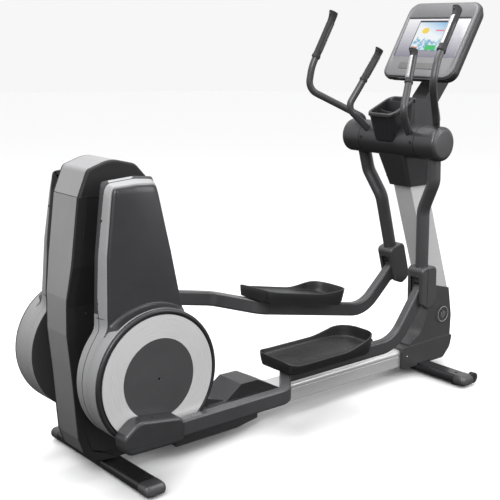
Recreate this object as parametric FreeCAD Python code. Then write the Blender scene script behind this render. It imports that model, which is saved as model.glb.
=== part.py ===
import FreeCAD, Part
import math
import os

os.makedirs("parts", exist_ok=True)
Vec = FreeCAD.Vector

# Elliptical trainer with a rear drive. Millimetres. +X points from the drive to the console,
# -Y is the user's right hand, +Z is up. Stations along X are measured from the crank axis;
# save() moves everything so that the middle of the footprint is the origin.

# ---- linkage ----
crank_height = 418.0
crank_radius = 187.0
crank_rest_angle = 25.0      # right crank pin, behind its lowest point
pivot_station = 1496.0       # handle pivot shaft
pivot_height = 1117.0
rocker_length = 668.0        # pivot shaft to pedal arm pin
pedal_arm_length = 1606.0    # crank pin to pedal arm pin
rocker_side = 160.0          # rocker, pedal and front half of the pedal arm
arm_rear_side = 327.0        # rear half of the pedal arm, outside the drum

# ---- fits ----
running_gap = 0.05           # radial, shaft in a bore
cover_gap = 1.5              # moving cover past a fixed one
seat_gap = 0.5               # cover over a tube

# ---- footprint ----
machine_rear = -247.0        # back of the drums
machine_front = 1860.0       # nose of the front shroud
stabilizer_half = 345.0
rear_stabilizer_station = -50.0
front_stabilizer_station = 1660.0
stabilizer_width = 84.0
stabilizer_height = 42.0
stabilizer_cap_length = 34.0
foot_height = 12.0
foot_radius = 20.0
foot_stem_radius = 6.0
wheel_radius = 24.0
wheel_width = 22.0

# ---- centre beam and mast ----
beam_half = 58.0
beam_height = 81.0
beam_wall = 5.0
beam_rear = 250.0
mast_half = 50.0
mast_depth = 108.0
mast_wall = 6.0
mast_lean = 19.1             # degrees from upright, towards the drive
mast_knee_height = 360.0     # below this the mast stands upright
mast_foot_station = 1735.0   # rear face of the upright foot
cross_tube_radius = 34.0
pivot_shaft_radius = 20.0
pivot_shaft_half = 252.0

# ---- handle pivot housing ----
housing_radius = 74.0
housing_wall = 4.0
housing_centre_half = 161.0
housing_half = 270.0
end_housing_nose = 12.0

# ---- drums and fins ----
drum_radius = 247.0
drum_inner_side = 162.0
drum_outer_side = 299.0
drum_parting_side = 190.0
drum_wall = 4.0
disc_radius = 229.0
disc_gap = 3.0
ring_outer_radius = 227.0
ring_inner_radius = 145.0
ring_thickness = 2.0
disc_thickness = 14.0
fin_top = 1096.0
fin_top_rear = -130.0
fin_top_front = 74.0
fin_low = 600.0
fin_low_rear = -166.0
fin_low_front = 153.0
fin_outer_top_side = 217.0
fin_outer_low_side = 245.0

# ---- tower column ----
column_top = 1162.0
column_half_top = 92.0
column_half_low = 74.0
column_step_height = 720.0
column_wall = 4.0
cap_seam_height = 1040.0

# ---- drive ----
shaft_radius = 17.5
bearing_radius = 35.0
bearing_width = 14.0
upright_inner_side = 46.0
drive_pulley_radius = 110.0
generator_pulley_radius = 30.0
generator_height = 800.0
generator_radius = 42.0
belt_width = 22.0
belt_thickness = 3.0
belt_gap = 0.3

# ---- swing arms and handles ----
sleeve_radius = 32.0
sleeve_inner_side = 168.0
sleeve_outer_side = 246.0
rocker_depth = 66.0
rocker_width = 50.0
rocker_wall = 4.0
rocker_bends = [90.0, 120.0]
handle_bends = [30.0, 62.0, 190.0]
fixed_handle_bends = [44.0, 120.0]
arm_pin_radius = 12.0
cheek_thickness = 6.0
cheek_gap = 2.0
handle_radius = 15.5
grip_radius = 20.0
grip_length = 212.0

# ---- pedal arms and pedals ----
arm_height = 62.0
arm_width = 42.0
arm_wall = 4.0
arm_drop = 17.0              # arm centre line below the crank pin
arm_eye_radius = 32.0
arm_bends = [70.0, 70.0, 170.0]
jog_rear_station = 560.0
jog_front_station = 700.0
pedal_rear_station = 640.0
pedal_front_station = 1150.0
pedal_inner_reach = 112.0
pedal_outer_reach = 112.0
pedal_floor = 9.0
pedal_wall = 7.0
pedal_low_rim = 40.0
pedal_high_rim = 82.0
boot_rear_reach = 105.0
boot_front_reach = 140.0
boot_height = 124.0
boot_half_width = 34.0

# ---- console ----
console_tilt = 30.8          # degrees, top leaning away from the user
console_height = 355.0
console_half_top = 192.0
console_half_low = 186.0
console_corner = 42.0
console_station = 1703.0     # middle of the face
console_level = 1551.5
bezel_depth = 24.0
console_depth = 62.0
console_wall = 4.0
glass_half = 178.0
glass_top = 106.0
glass_low = -93.0
screen_half = 93.0
screen_top = 80.0
screen_low = -54.0
key_level = -126.0
key_size = 30.0
key_pitch = 62.0
key_travel = 1.5

# ---- worked out ----
pivot = Vec(pivot_station, 0, pivot_height)
crank_axis = Vec(0, 0, crank_height)
footprint_middle = (machine_rear + machine_front) / 2.0
beam_low = foot_height + stabilizer_height
beam_top = beam_low + beam_height


def crank_pin(turn):
    """Crank pin that has turned by so many degrees behind the lowest point."""
    angle = math.radians(turn)
    return Vec(-crank_radius * math.sin(angle), 0, crank_height - crank_radius * math.cos(angle))


def arm_joint(pin):
    """Lower end of the rocker whose pedal arm ends at this crank pin."""
    across = pin - pivot
    distance = across.Length
    along = (rocker_length ** 2 - pedal_arm_length ** 2 + distance ** 2) / (2 * distance)
    aside = math.sqrt(rocker_length ** 2 - along ** 2)
    direction = across / distance
    return pivot + direction * along + Vec(-direction.z, 0, direction.x) * aside


def swing_angle(joint):
    """Degrees that a rocker's lower end stands in front of the pivot shaft."""
    return math.degrees(math.atan2(joint.x - pivot.x, pivot.z - joint.z))


right_pin = crank_pin(crank_rest_angle)
left_pin = crank_pin(crank_rest_angle + 180.0)
right_joint = arm_joint(right_pin)
left_joint = arm_joint(left_pin)
right_swing = swing_angle(right_joint)
left_swing = swing_angle(left_joint)
arm_level = right_pin.z - arm_drop


# ---- shapes ----
def rounded_loop(points, radii):
    """Closed wire through the points, each corner rounded to its own radius."""
    count = len(points)
    if isinstance(radii, (int, float)):
        radii = [radii] * count
    starts, ends, middles = [], [], []
    for i, point in enumerate(points):
        before = (points[i - 1] - point).normalize()
        after = (points[(i + 1) % count] - point).normalize()
        half = before.getAngle(after) / 2.0
        reach = radii[i] / math.tan(half)
        starts.append(point + before * reach)
        ends.append(point + after * reach)
        bisector = (before + after).normalize()
        middles.append(point + bisector * (radii[i] / math.sin(half) - radii[i]))
    edges = []
    for i in range(count):
        if radii[i] > 0:
            edges.append(Part.Arc(starts[i], middles[i], ends[i]).toShape())
        edges.append(Part.makeLine(ends[i], starts[(i + 1) % count]))
    return Part.Wire(edges)


def side_loop(points, radii, y):
    return rounded_loop([Vec(x, y, z) for x, z in points], radii)


def side_prism(points, radii, y_from, y_to):
    """Outline in X and Z carried across the machine."""
    face = Part.Face(side_loop(points, radii, y_from))
    return face.extrude(Vec(0, y_to - y_from, 0))


def plan_prism(points, radii, z_from, z_to):
    loop = rounded_loop([Vec(x, y, z_from) for x, y in points], radii)
    return Part.Face(loop).extrude(Vec(0, 0, z_to - z_from))


def end_prism(points, radii, x_from, x_to):
    loop = rounded_loop([Vec(x_from, y, z) for y, z in points], radii)
    return Part.Face(loop).extrude(Vec(x_to - x_from, 0, 0))


def block(x_from, x_to, y_from, y_to, z_from, z_to):
    size = Vec(x_to - x_from, y_to - y_from, z_to - z_from)
    return Part.makeBox(size.x, size.y, size.z, Vec(x_from, y_from, z_from))


def axle(centre, radius, y_from, y_to):
    """Cylinder along Y."""
    return Part.makeCylinder(radius, y_to - y_from, Vec(centre.x, y_from, centre.z), Vec(0, 1, 0))


def ring(centre, outer, inner, y_from, y_to):
    return axle(centre, outer, y_from, y_to).cut(axle(centre, inner, y_from - 1, y_to + 1))


def path_wire(points, radii):
    """Open path of straight runs joined by arcs."""
    edges = []
    last = points[0]
    for i in range(1, len(points) - 1):
        point = points[i]
        before = (points[i - 1] - point).normalize()
        after = (points[i + 1] - point).normalize()
        half = before.getAngle(after) / 2.0
        reach = radii[i - 1] / math.tan(half)
        start = point + before * reach
        end = point + after * reach
        bisector = (before + after).normalize()
        middle = point + bisector * (radii[i - 1] / math.sin(half) - radii[i - 1])
        edges.append(Part.makeLine(last, start))
        edges.append(Part.Arc(start, middle, end).toShape())
        last = end
    edges.append(Part.makeLine(last, points[-1]))
    return Part.Wire(edges)


def tube(points, radii, depth, width, corner=None):
    """Solid bar along a path: oval, or a rounded box where a corner is given.

    Depth lies in the X-Z plane and width along Y at the start of the path.
    """
    start = points[0]
    forward = (points[1] - start).normalize()
    across = Vec(0, 1, 0) - forward * forward.y
    across.normalize()
    up = across.cross(forward)
    if corner is None:
        if abs(depth - width) < 0.01:
            profile = Part.Wire([Part.Circle(start, forward, depth / 2.0).toShape()])
        else:
            major, minor = (up * (depth / 2.0), across * (width / 2.0))
            if depth < width:
                major, minor = minor, major
            profile = Part.Wire([Part.Ellipse(start + major, start + minor, start).toShape()])
    else:
        corners = [(-1, -1), (1, -1), (1, 1), (-1, 1)]
        spots = [start + up * (a * depth / 2.0) + across * (b * width / 2.0) for a, b in corners]
        profile = rounded_loop(spots, corner)
    return path_wire(points, radii).makePipeShell([profile], True, False)


def mirrored(shape):
    return shape.mirror(Vec(0, 0, 0), Vec(0, 1, 0))


def swung(shape, degrees):
    """Turned about the pivot shaft so that its lower end comes forward."""
    turned = shape.copy()
    turned.rotate(pivot, Vec(0, 1, 0), -degrees)
    return turned


def on_console(shape):
    """From the console's own frame (X into it, Z up its face) to the machine."""
    placed = shape.copy()
    placed.rotate(Vec(0, 0, 0), Vec(0, 1, 0), console_tilt)
    placed.translate(Vec(console_station, 0, console_level))
    return placed


def save(name, shapes):
    shapes = shapes if isinstance(shapes, list) else [shapes]
    solids = []
    for shape in shapes:
        moved = shape.copy()
        moved.translate(Vec(-footprint_middle, 0, 0))
        solids.extend(moved.Solids)
    for solid in solids:
        if not solid.isValid() or solid.Volume <= 0:
            raise RuntimeError(name + " is not a sound solid")
    result = solids[0] if len(solids) == 1 else Part.makeCompound(solids)
    result.exportStep("parts/" + name + ".step")
    print(name, len(solids), [round(v) for v in (result.BoundBox.XMin, result.BoundBox.XMax,
                                                 result.BoundBox.YMin, result.BoundBox.YMax,
                                                 result.BoundBox.ZMin, result.BoundBox.ZMax)])


# ---- stabilizers, feet and wheels ----
def stabilizer_outline(station, inset=0.0):
    half = stabilizer_width / 2.0 - inset
    low, high = foot_height + inset, beam_low - inset
    return [(station - half, low), (station + half, low), (station + half, high), (station - half, high)]


def stabilizer(station):
    """Flat-sided steel cross tube with pockets for its feet."""
    reach = stabilizer_half - stabilizer_cap_length
    corner = stabilizer_height * 0.38
    bar = side_prism(stabilizer_outline(station), corner, -reach, reach)
    hollow = side_prism(stabilizer_outline(station, 4.0), corner - 4.0, -reach - 1, reach + 1)
    bar = bar.cut(hollow)
    for side in (-1, 1):
        seat = block(station - 16, station + 16, side * foot_side() - 16, side * foot_side() + 16,
                     foot_height + 2, beam_low - 2)
        bar = bar.fuse(seat)
        stem_hole = Part.makeCylinder(foot_stem_radius + 0.3, stabilizer_height + 2,
                                      Vec(station, side * foot_side(), foot_height - 1))
        bar = bar.cut(stem_hole)
    return bar.removeSplitter()


def foot_side():
    return stabilizer_half - stabilizer_cap_length - 40.0


def stabilizer_caps():
    """Rounded plastic end caps, one on each end of both stabilizers."""
    caps = []
    corner = stabilizer_height * 0.38
    for station in (rear_stabilizer_station, front_stabilizer_station):
        outer = stabilizer_half - stabilizer_cap_length
        cap = side_prism(stabilizer_outline(station), corner, outer, stabilizer_half)
        end_edges = [e for e in cap.Edges if e.BoundBox.YMin > stabilizer_half - 0.1]
        cap = cap.makeFillet(9.0, end_edges)
        spigot = side_prism(stabilizer_outline(station, 4.2), corner - 4.2, outer - 22, outer)
        cap = cap.fuse(spigot).removeSplitter()
        if station == front_stabilizer_station:
            cap = cap.cut(axle(wheel_centre(), wheel_radius + 3.0, wheel_side() - 14, wheel_side() + 14))
        caps += [cap, mirrored(cap)]
    return caps


def wheel_side():
    return stabilizer_half - stabilizer_cap_length / 2.0


def wheel_centre():
    return Vec(front_stabilizer_station + stabilizer_width / 2.0 + 4.0, 0, beam_low - 18.0)


def levelling_foot(station, side):
    """Rubber pad on a threaded stem, screwed into the stabilizer."""
    y = side * foot_side()
    pad = Part.makeCone(foot_radius, foot_radius * 0.8, foot_height - 2.0, Vec(station, y, 0))
    stem = Part.makeCylinder(foot_stem_radius, stabilizer_height - 10.0, Vec(station, y, 4.0))
    return pad.fuse(stem).removeSplitter()


# ---- frame ----
def main_beam():
    """Aluminium box beam with a shallow groove along each flank."""
    outline = [(-beam_half, beam_low), (beam_half, beam_low), (beam_half, beam_top), (-beam_half, beam_top)]
    inset = [(-beam_half + beam_wall, beam_low + beam_wall), (beam_half - beam_wall, beam_low + beam_wall),
             (beam_half - beam_wall, beam_top - beam_wall), (-beam_half + beam_wall, beam_top - beam_wall)]
    beam = end_prism(outline, [4, 4, 16, 16], beam_rear, mast_foot_station)
    beam = beam.cut(end_prism(inset, [2, 2, 11, 11], beam_rear - 1, mast_foot_station + 1))
    for side in (-1, 1):
        groove = block(beam_rear - 1, mast_foot_station + 1, side * beam_half - 1.5, side * beam_half + 1.5,
                       beam_top - 27, beam_top - 20)
        beam = beam.cut(groove)
    return beam


def rear_frame():
    """Welded steel base, two uprights with bearing seats, and the generator shelf."""
    base = block(-120, beam_rear, -beam_half, beam_half, beam_low, beam_low + 10)
    plug = block(beam_rear, beam_rear + 90, -beam_half + beam_wall + 3, beam_half - beam_wall - 3,
                 beam_low + beam_wall, beam_low + beam_wall + 50)
    plug = plug.fuse(block(beam_rear - 30, beam_rear, -beam_half + beam_wall + 3,
                           beam_half - beam_wall - 3, beam_low + 9, beam_low + beam_wall + 50))
    frame = base.fuse(plug)
    outline = [(-110, beam_low + 8), (170, beam_low + 8), (60, generator_height - 90),
               (60, generator_height + 20), (-60, generator_height + 20), (-60, generator_height - 90)]
    for side in (-1, 1):
        low, high = sorted((side * upright_inner_side, side * (upright_inner_side + bearing_width)))
        upright = side_prism(outline, 4.0, low, high)
        frame = frame.fuse(upright)
    for x_from, z_from, z_to in ((-110, 120, 132), (40, 560, 572)):
        frame = frame.fuse(block(x_from, x_from + 14, -upright_inner_side - 2, upright_inner_side + 2,
                                 z_from, z_to + 60))
    frame = frame.cut(axle(crank_axis, bearing_radius, -column_half_top, column_half_top))
    frame = frame.cut(axle(Vec(0, 0, generator_height), 18.0, -column_half_top, column_half_top))
    return frame.removeSplitter()


def mast_outline(inset=0.0):
    """Upright foot, then straight up and back to above the pivot shaft."""
    lean = math.radians(mast_lean)
    rise = pivot_height + 34.0 - mast_knee_height
    across = mast_depth / math.cos(lean)
    rear_foot = mast_foot_station + inset
    front_foot = mast_foot_station + 108.0 - inset
    shift = rise * math.tan(lean)
    rear_knee = mast_foot_station + inset
    front_knee = rear_knee + across - 2 * inset
    top = pivot_height + 34.0 - inset
    return [(rear_foot, beam_low + inset), (front_foot, beam_low + inset), (front_knee, mast_knee_height),
            (front_knee - shift, top), (rear_knee - shift, top), (rear_knee, mast_knee_height)]


def mast():
    """Leaning aluminium box mast with the cross tube that carries the pivot shaft."""
    body = side_prism(mast_outline(), 2.0, -mast_half, mast_half)
    hollow = side_prism(mast_outline(mast_wall), 1.0, -mast_half + mast_wall, mast_half - mast_wall)
    body = body.cut(hollow)
    body = body.fuse(axle(pivot, cross_tube_radius, -housing_centre_half + 6, housing_centre_half - 6))
    body = body.cut(axle(pivot, pivot_shaft_radius, -housing_half, housing_half))
    return body.removeSplitter()


# ---- drive ----
def crankshaft():
    shaft = axle(crank_axis, shaft_radius, -drum_outer_side + disc_thickness + ring_thickness,
                 drum_outer_side - disc_thickness - ring_thickness)
    return shaft


def crank_discs():
    """Discs that close the drums and carry the crank pins."""
    discs = []
    outer = drum_outer_side - ring_thickness
    disc = axle(crank_axis, disc_radius, outer - disc_thickness, outer)
    boss = axle(crank_axis, 42.0, outer - disc_thickness - 34, outer - disc_thickness)
    disc = disc.fuse(boss)
    disc = disc.cut(axle(crank_axis, shaft_radius, 0, outer - disc_thickness))
    disc = disc.fuse(axle(crank_axis, ring_inner_radius - 0.5, outer, drum_outer_side - 0.5))
    disc = disc.cut(axle(crank_axis, 5.0, outer - 8, drum_outer_side + 1)).removeSplitter()
    discs.append(mirrored(disc))
    discs.append(disc)
    return discs


def disc_rings():
    """Brushed trim rings on the disc faces."""
    plate = ring(crank_axis, ring_outer_radius, ring_inner_radius, drum_outer_side - ring_thickness,
                 drum_outer_side)
    return [mirrored(plate), plate]


def crank_bearings():
    rings = []
    for side in (-1, 1):
        low, high = sorted((side * upright_inner_side, side * (upright_inner_side + bearing_width)))
        rings.append(ring(crank_axis, bearing_radius, shaft_radius + running_gap, low, high))
    return rings


def drive_pulley():
    wheel = ring(crank_axis, drive_pulley_radius, shaft_radius, -belt_width / 2 - 2, belt_width / 2 + 2)
    for i in range(6):
        angle = math.radians(60 * i)
        spot = crank_axis + Vec(math.cos(angle), 0, math.sin(angle)) * (drive_pulley_radius * 0.58)
        wheel = wheel.cut(axle(spot, drive_pulley_radius * 0.2, -belt_width, belt_width))
    return wheel


def generator_pulley():
    centre = Vec(0, 0, generator_height)
    wheel = axle(centre, generator_pulley_radius, -belt_width / 2 - 2, belt_width / 2 + 2)
    return wheel.fuse(axle(centre, 8.0, -belt_width / 2 - 30, belt_width / 2 + 30)).removeSplitter()


def generator():
    """Brake generator beside its pulley, bolted to the shelf, with a bore for the rotor shaft."""
    centre = Vec(0, 0, generator_height)
    body = axle(centre, 17.5, upright_inner_side - 28, upright_inner_side + bearing_width + 6)
    case = axle(centre, generator_radius, belt_width / 2 + 6, upright_inner_side)
    body = body.fuse(case).cut(axle(centre, 8.0 + running_gap, 0, 44))
    return body.removeSplitter()


def belt_loop(offset, width):
    """Solid inside the belt's outline, that far outside the pulley rims."""
    big, small = drive_pulley_radius + offset, generator_pulley_radius + offset
    span = generator_height - crank_height
    tilt = math.asin((big - small) / span)
    points = []
    for side, radius, z in ((-1, big, crank_height), (-1, small, generator_height),
                            (1, small, generator_height), (1, big, crank_height)):
        points.append(Vec(side * radius * math.cos(tilt), -width / 2, z + radius * math.sin(tilt)))
    web = Part.Face(Part.makePolygon(points + [points[0]])).extrude(Vec(0, width, 0))
    loop = web.fuse(axle(crank_axis, big, -width / 2, width / 2))
    return loop.fuse(axle(Vec(0, 0, generator_height), small, -width / 2, width / 2))


def drive_belt():
    outer = belt_loop(belt_gap + belt_thickness, belt_width)
    return outer.cut(belt_loop(belt_gap, belt_width + 2)).removeSplitter()


# ---- drum covers ----
def fin_outline(inset):
    """Tapered fin that stands on the drum."""
    return [(fin_low_rear + inset, fin_low - 90), (fin_low_front - inset, fin_low - 90),
            (fin_low_front - inset, fin_low), (fin_top_front - inset, fin_top - inset),
            (fin_top_rear + inset, fin_top - inset), (fin_low_rear + inset, fin_low + 140)]


def fin_body(inset, y_near, top_side, low_side):
    """Fin between the parting plane and its outer face, which leans in towards the top."""
    slab = side_prism(fin_outline(inset), [1, 1, 30, 42 - inset, 30 - inset, 60], y_near, low_side)
    lean = [(y_near - 1, fin_low - 95), (low_side, fin_low - 95), (top_side, fin_top + 5),
            (y_near - 1, fin_top + 5)]
    return slab.common(end_prism(lean, 0.0, fin_low_rear - 60, fin_low_front + 60))


def on_side(shape, side):
    """A piece made for the left, kept there or mirrored to the right."""
    return shape if side > 0 else mirrored(shape)


def drum_outer_cover(side):
    """Outer half: drum rim, fin, and the round opening that the disc turns in."""
    near, outer = drum_parting_side, drum_outer_side
    rim = axle(crank_axis, drum_radius, near, outer)
    edge = [e for e in rim.Edges if e.BoundBox.YMin > outer - 0.1 and e.BoundBox.XLength > 1]
    rim = rim.makeFillet(9.0, edge)
    fin = fin_body(0.0, near, fin_outer_top_side, fin_outer_low_side)
    fin_edges = [e for e in fin.Edges if e.BoundBox.ZMax > fin_low and e.BoundBox.YMin > near + 1]
    fin = fin.makeFillet(7.0, fin_edges)
    body = on_side(rim, side).fuse(on_side(fin, side))
    room = fin_body(drum_wall, near - 1, fin_outer_top_side - drum_wall, fin_outer_low_side - drum_wall)
    body = body.cut(on_side(room, side))
    body = body.cut(on_side(axle(crank_axis, drum_radius - drum_wall, near - 1, outer - drum_wall), side))
    return body.cut(on_side(axle(crank_axis, disc_radius + disc_gap, near, outer + 1), side))


def drum_inner_cover(side):
    """Inner half, closed on the side that faces the column."""
    near, far = drum_inner_side, drum_parting_side - seat_gap
    rim = axle(crank_axis, drum_radius, near, far)
    edge = [e for e in rim.Edges if e.BoundBox.YMax < near + 0.1 and e.BoundBox.XLength > 1]
    rim = rim.makeFillet(8.0, edge)
    fin = side_prism(fin_outline(0.0), [1, 1, 30, 42, 30, 60], near, far)
    body = on_side(rim, side).fuse(on_side(fin, side))
    room = side_prism(fin_outline(drum_wall), [1, 1, 30, 38, 26, 60], near + drum_wall, far + 1)
    body = body.cut(on_side(room, side))
    body = body.cut(on_side(axle(crank_axis, drum_radius - drum_wall, near + drum_wall, far + 1), side))
    return body.cut(on_side(axle(crank_axis, shaft_radius + 8.0, near - 1, far + 1), side))


# ---- tower covers ----
def column_rear_line():
    """Back of the tower from its top to the floor side."""
    return [(-140, 1128), (-172, cap_seam_height), (-205, 800), (-222, 690), (-226, 560), (-212, 400),
            (-202, 245), (-196, 170), (-176, 112), (-128, 72), (-44, 60)]


def tower_back_cover():
    """Rear shell of the tower, narrower below its waist, with folded flanks."""
    rear = [p for p in column_rear_line() if p[1] <= cap_seam_height]
    inner = [(x + column_wall + 26, z + (2 if z < 200 else 0)) for x, z in rear]
    outline = rear + [(-44, 66), (-96, 92)] + [p for p in reversed(inner[:-2])]
    shell = side_prism(outline, 0.0, -column_half_top, column_half_top)
    core_points = [(x + column_wall, z) for x, z in rear[:-2]] + [(-124, 77), (-40, 66)]
    core = side_prism([(60, cap_seam_height + 5)] + [(core_points[0][0], cap_seam_height + 5)]
                      + core_points[1:] + [(60, 66)], 0.0,
                      -column_half_low + column_wall, column_half_low - column_wall)
    shell = shell.cut(core)
    shell = shell.cut(block(-121, 10, -61, 61, 40, 92))
    waist = column_waist_cut()
    return shell.cut(waist).cut(mirrored(waist)).removeSplitter()


def column_waist_cut():
    """What is taken off each flank below the waist."""
    low = column_half_low
    top = column_half_top
    points = [(low + 6, -10), (low, 300), (low, column_step_height - 60), (top + 1, column_step_height + 90),
              (top + 80, column_step_height + 90), (top + 80, -10)]
    return end_prism(points, 0.0, -400, 400)


def column_front_line():
    """Front of the tower from the floor side to the cap."""
    return [(190, 100), (200, 420), (185, 640), (150, 900), (118, cap_seam_height)]


def tower_front_cover():
    """Curved front plate between the flanks, down to the base fairing."""
    half = column_half_low - 8.0 - seat_gap
    low = 214.0
    front = [(196, low)] + column_front_line()[1:-1] + [(118.5, cap_seam_height - seat_gap)]
    inner = [(x - column_wall, z) for x, z in reversed(front)]
    return side_prism(front + inner, 0.0, -half, half)


def tower_side_panels():
    """Black flank panels between the back cover and the front edge of the tower."""
    rear_inner = [(x + column_wall + 27, z + (4 if z < 200 else 0)) for x, z in column_rear_line()
                  if 100 < z <= cap_seam_height]
    outline = rear_inner + [(-90, 100)] + column_front_line()
    panel = side_prism(outline, 0.0, column_half_low - 8, column_half_top)
    panel = panel.cut(column_waist_cut())
    pocket = side_prism([(-150, 130), (175, 130), (180, 420), (165, 640), (130, 890), (100, 1020), (-130, 1020)],
                        6.0, column_half_low - 9, column_half_low - column_wall)
    panel = panel.cut(pocket)
    upper_pocket = side_prism([(-150, column_step_height + 110), (132, column_step_height + 110),
                               (104, cap_seam_height - 18), (-140, cap_seam_height - 18)],
                              6.0, column_half_low - 9, column_half_top - column_wall)
    panel = panel.cut(upper_pocket)
    panel = panel.cut(axle(crank_axis, shaft_radius + 8.0, 0, drum_inner_side))
    return [mirrored(panel), panel]


def tower_cap():
    """Arched top of the tower above the seam."""
    seam = cap_seam_height + 0.8
    outline = [(-171, seam), (118, seam), (104, 1088), (58, 1138), (-40, column_top), (-132, 1132)]
    radii = [0, 0, 20, 50, 120, 26]
    body = side_prism(outline, radii, -column_half_top, column_half_top)
    edges = [e for e in body.Edges if abs(abs(e.BoundBox.YMin) - column_half_top) < 0.1
             and e.BoundBox.YLength < 0.1 and e.BoundBox.ZMax > seam + 1]
    body = body.makeFillet(9.0, edges)
    inner = [(-171 + 5, seam - 1), (118 - 5, seam - 1), (98, 1084), (54, 1130), (-40, column_top - 6),
             (-126, 1126)]
    hollow = side_prism(inner, radii, -column_half_top + column_wall, column_half_top - column_wall)
    return body.cut(hollow).removeSplitter()


def rear_base_fairing():
    """Low cover over the joint of tower and beam, stepping down to the beam."""
    gap = seat_gap
    flare = plan_prism([(202, -104), (500, -104), (640, -72), (640, 72), (500, 104), (202, 104)],
                       [4, 30, 20, 20, 30, 4], 40, 148)
    hump = side_prism([(380, 60), (740, 60), (750, beam_top + 6), (700, 168), (636, 201), (548, 203),
                       (470, 150), (380, 150)], [0, 0, 4, 12, 14, 10, 10, 0], -72, 72)
    rear = side_prism([(202, 60), (480, 60), (470, 150), (330, 196), (202, 210)], [0, 0, 8, 14, 0], -60, 60)
    body = flare.fuse(hump).fuse(rear)
    channel = block(190, 800, -beam_half - gap, beam_half + gap, 30, beam_top + gap)
    body = body.cut(channel)
    room = block(190, 540, -beam_half + 4, beam_half - 4, 30, 143)
    body = body.cut(room)
    skin = 5.0
    for side in (-1, 1):
        low, high = sorted((side * (beam_half + gap + skin), side * (104 - skin)))
        body = body.cut(block(202 + skin, 490, low, high, 30, 148 - skin))
    body = body.cut(side_prism([(545, beam_top - 10), (700, beam_top - 10), (700, beam_top + 24), (650, 196 - skin),
                                (556, 198 - skin), (545, 170)], 0.0, -60, 60))
    return body.removeSplitter()


# ---- front shroud ----
def front_base_shroud():
    """Lower block around the beam end and a swept upper part around the mast foot."""
    low = side_prism([(1512, 46), (1800, 46), (machine_front - 12, 92), (machine_front + 2, 152), (1790, 152),
                      (1512, 148)], [4, 30, 30, 10, 2, 4], -76, 76)
    upright = side_prism([(1560, 146), (machine_front - 2, 146), (machine_front, 250), (1834, 388),
                          (1712, 420), (1690, 300), (1640, 196), (1560, 156)],
                         [0, 0, 60, 4, 4, 90, 70, 0], -66, 66)
    body = low.fuse(upright)
    channel = block(1500, mast_foot_station + 2, -beam_half - seat_gap, beam_half + seat_gap,
                    40, beam_top + seat_gap)
    body = body.cut(channel)
    side_gap = mast_half + seat_gap
    mast_room = side_prism(grown_mast(seat_gap), 0.0, -side_gap, side_gap)
    body = body.cut(mast_room)
    body = body.cut(block(mast_foot_station, mast_foot_station + 120, -side_gap, side_gap, 30, beam_low + 10))
    slot = block(front_stabilizer_station - stabilizer_width / 2 - 2,
                 front_stabilizer_station + stabilizer_width / 2 + 2, -100, 100, 30, beam_low + seat_gap)
    return body.cut(slot).removeSplitter()


def grown_mast(gap):
    points = mast_outline(-gap)
    points[0] = (points[0][0], beam_low - 30)
    points[1] = (points[1][0], beam_low - 30)
    return points


# ---- neck ----
def mast_room():
    side_gap = mast_half + seat_gap
    return side_prism(grown_mast(seat_gap), 0.0, -side_gap, side_gap)


def pivot_housing():
    """Fixed middle of the round housing on the pivot shaft."""
    half = housing_centre_half
    body = ring(pivot, housing_radius, housing_radius - housing_wall, -half, half)
    rib = ring(pivot, housing_radius - 1, cross_tube_radius + seat_gap, -half + 10, -half + 16)
    body = body.fuse(rib).fuse(mirrored(rib))
    body = body.cut(mast_room())
    for side in (-1, 1):
        body = body.cut(fixed_handle_bar(side, handle_radius + seat_gap))
    return body.removeSplitter()


def neck_shroud():
    """Tapered cover around the mast below the housing."""
    top = rounded_loop([Vec(1436, -86, 1100), Vec(1650, -86, 1100), Vec(1650, 86, 1100),
                        Vec(1436, 86, 1100)], 20)
    low = rounded_loop([Vec(1526, -64, 904), Vec(1668, -64, 904), Vec(1668, 64, 904),
                        Vec(1526, 64, 904)], 14)
    body = Part.makeLoft([top, low], True, True)
    body = body.cut(axle(pivot, housing_radius + seat_gap, -200, 200))
    body = body.cut(mast_room())
    body = body.cut(block(1300, 1800, -200, 200, 1060, 1200))
    solids = sorted(body.Solids, key=lambda s: s.Volume)
    return solids[-1]


def upper_neck_cover():
    """Cover of the mast top, from the housing to the console bracket."""
    points = [(1536, 1150), (1536, 1300), (1604, 1294), (1700, 1250), (1714, 1196), (1668, 1068), (1560, 1068)]
    body = side_prism(points, [0, 10, 18, 16, 24, 12, 0], -68, 68)
    body = body.cut(axle(pivot, housing_radius + seat_gap, -200, 200))
    body = body.cut(mast_room())
    inner = side_prism([(1566, 1150), (1566, 1288), (1690, 1242), (1702, 1196), (1680, 1150)], 6.0, -62, 62)
    body = body.cut(inner)
    opening = bracket_bar(seat_gap)
    body = body.cut(opening)
    solids = sorted(body.Solids, key=lambda s: s.Volume)
    return solids[-1]


def bracket_bar(gap):
    points = [(1606 - gap, 1160), (1686 + gap, 1160), (1690 + gap, 1230), (1812 + gap, 1378 + gap),
              (1762, 1430 + gap), (1640 - gap, 1300)]
    return side_prism(points, 0.0, -40 - gap, 40 + gap)


def console_bracket():
    """Steel neck that carries the console."""
    bar = bracket_bar(0.0).cut(mast_room())
    return bar.cut(on_console(block(-20, console_depth + seat_gap, -300, 300, -300, 300)))


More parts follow.
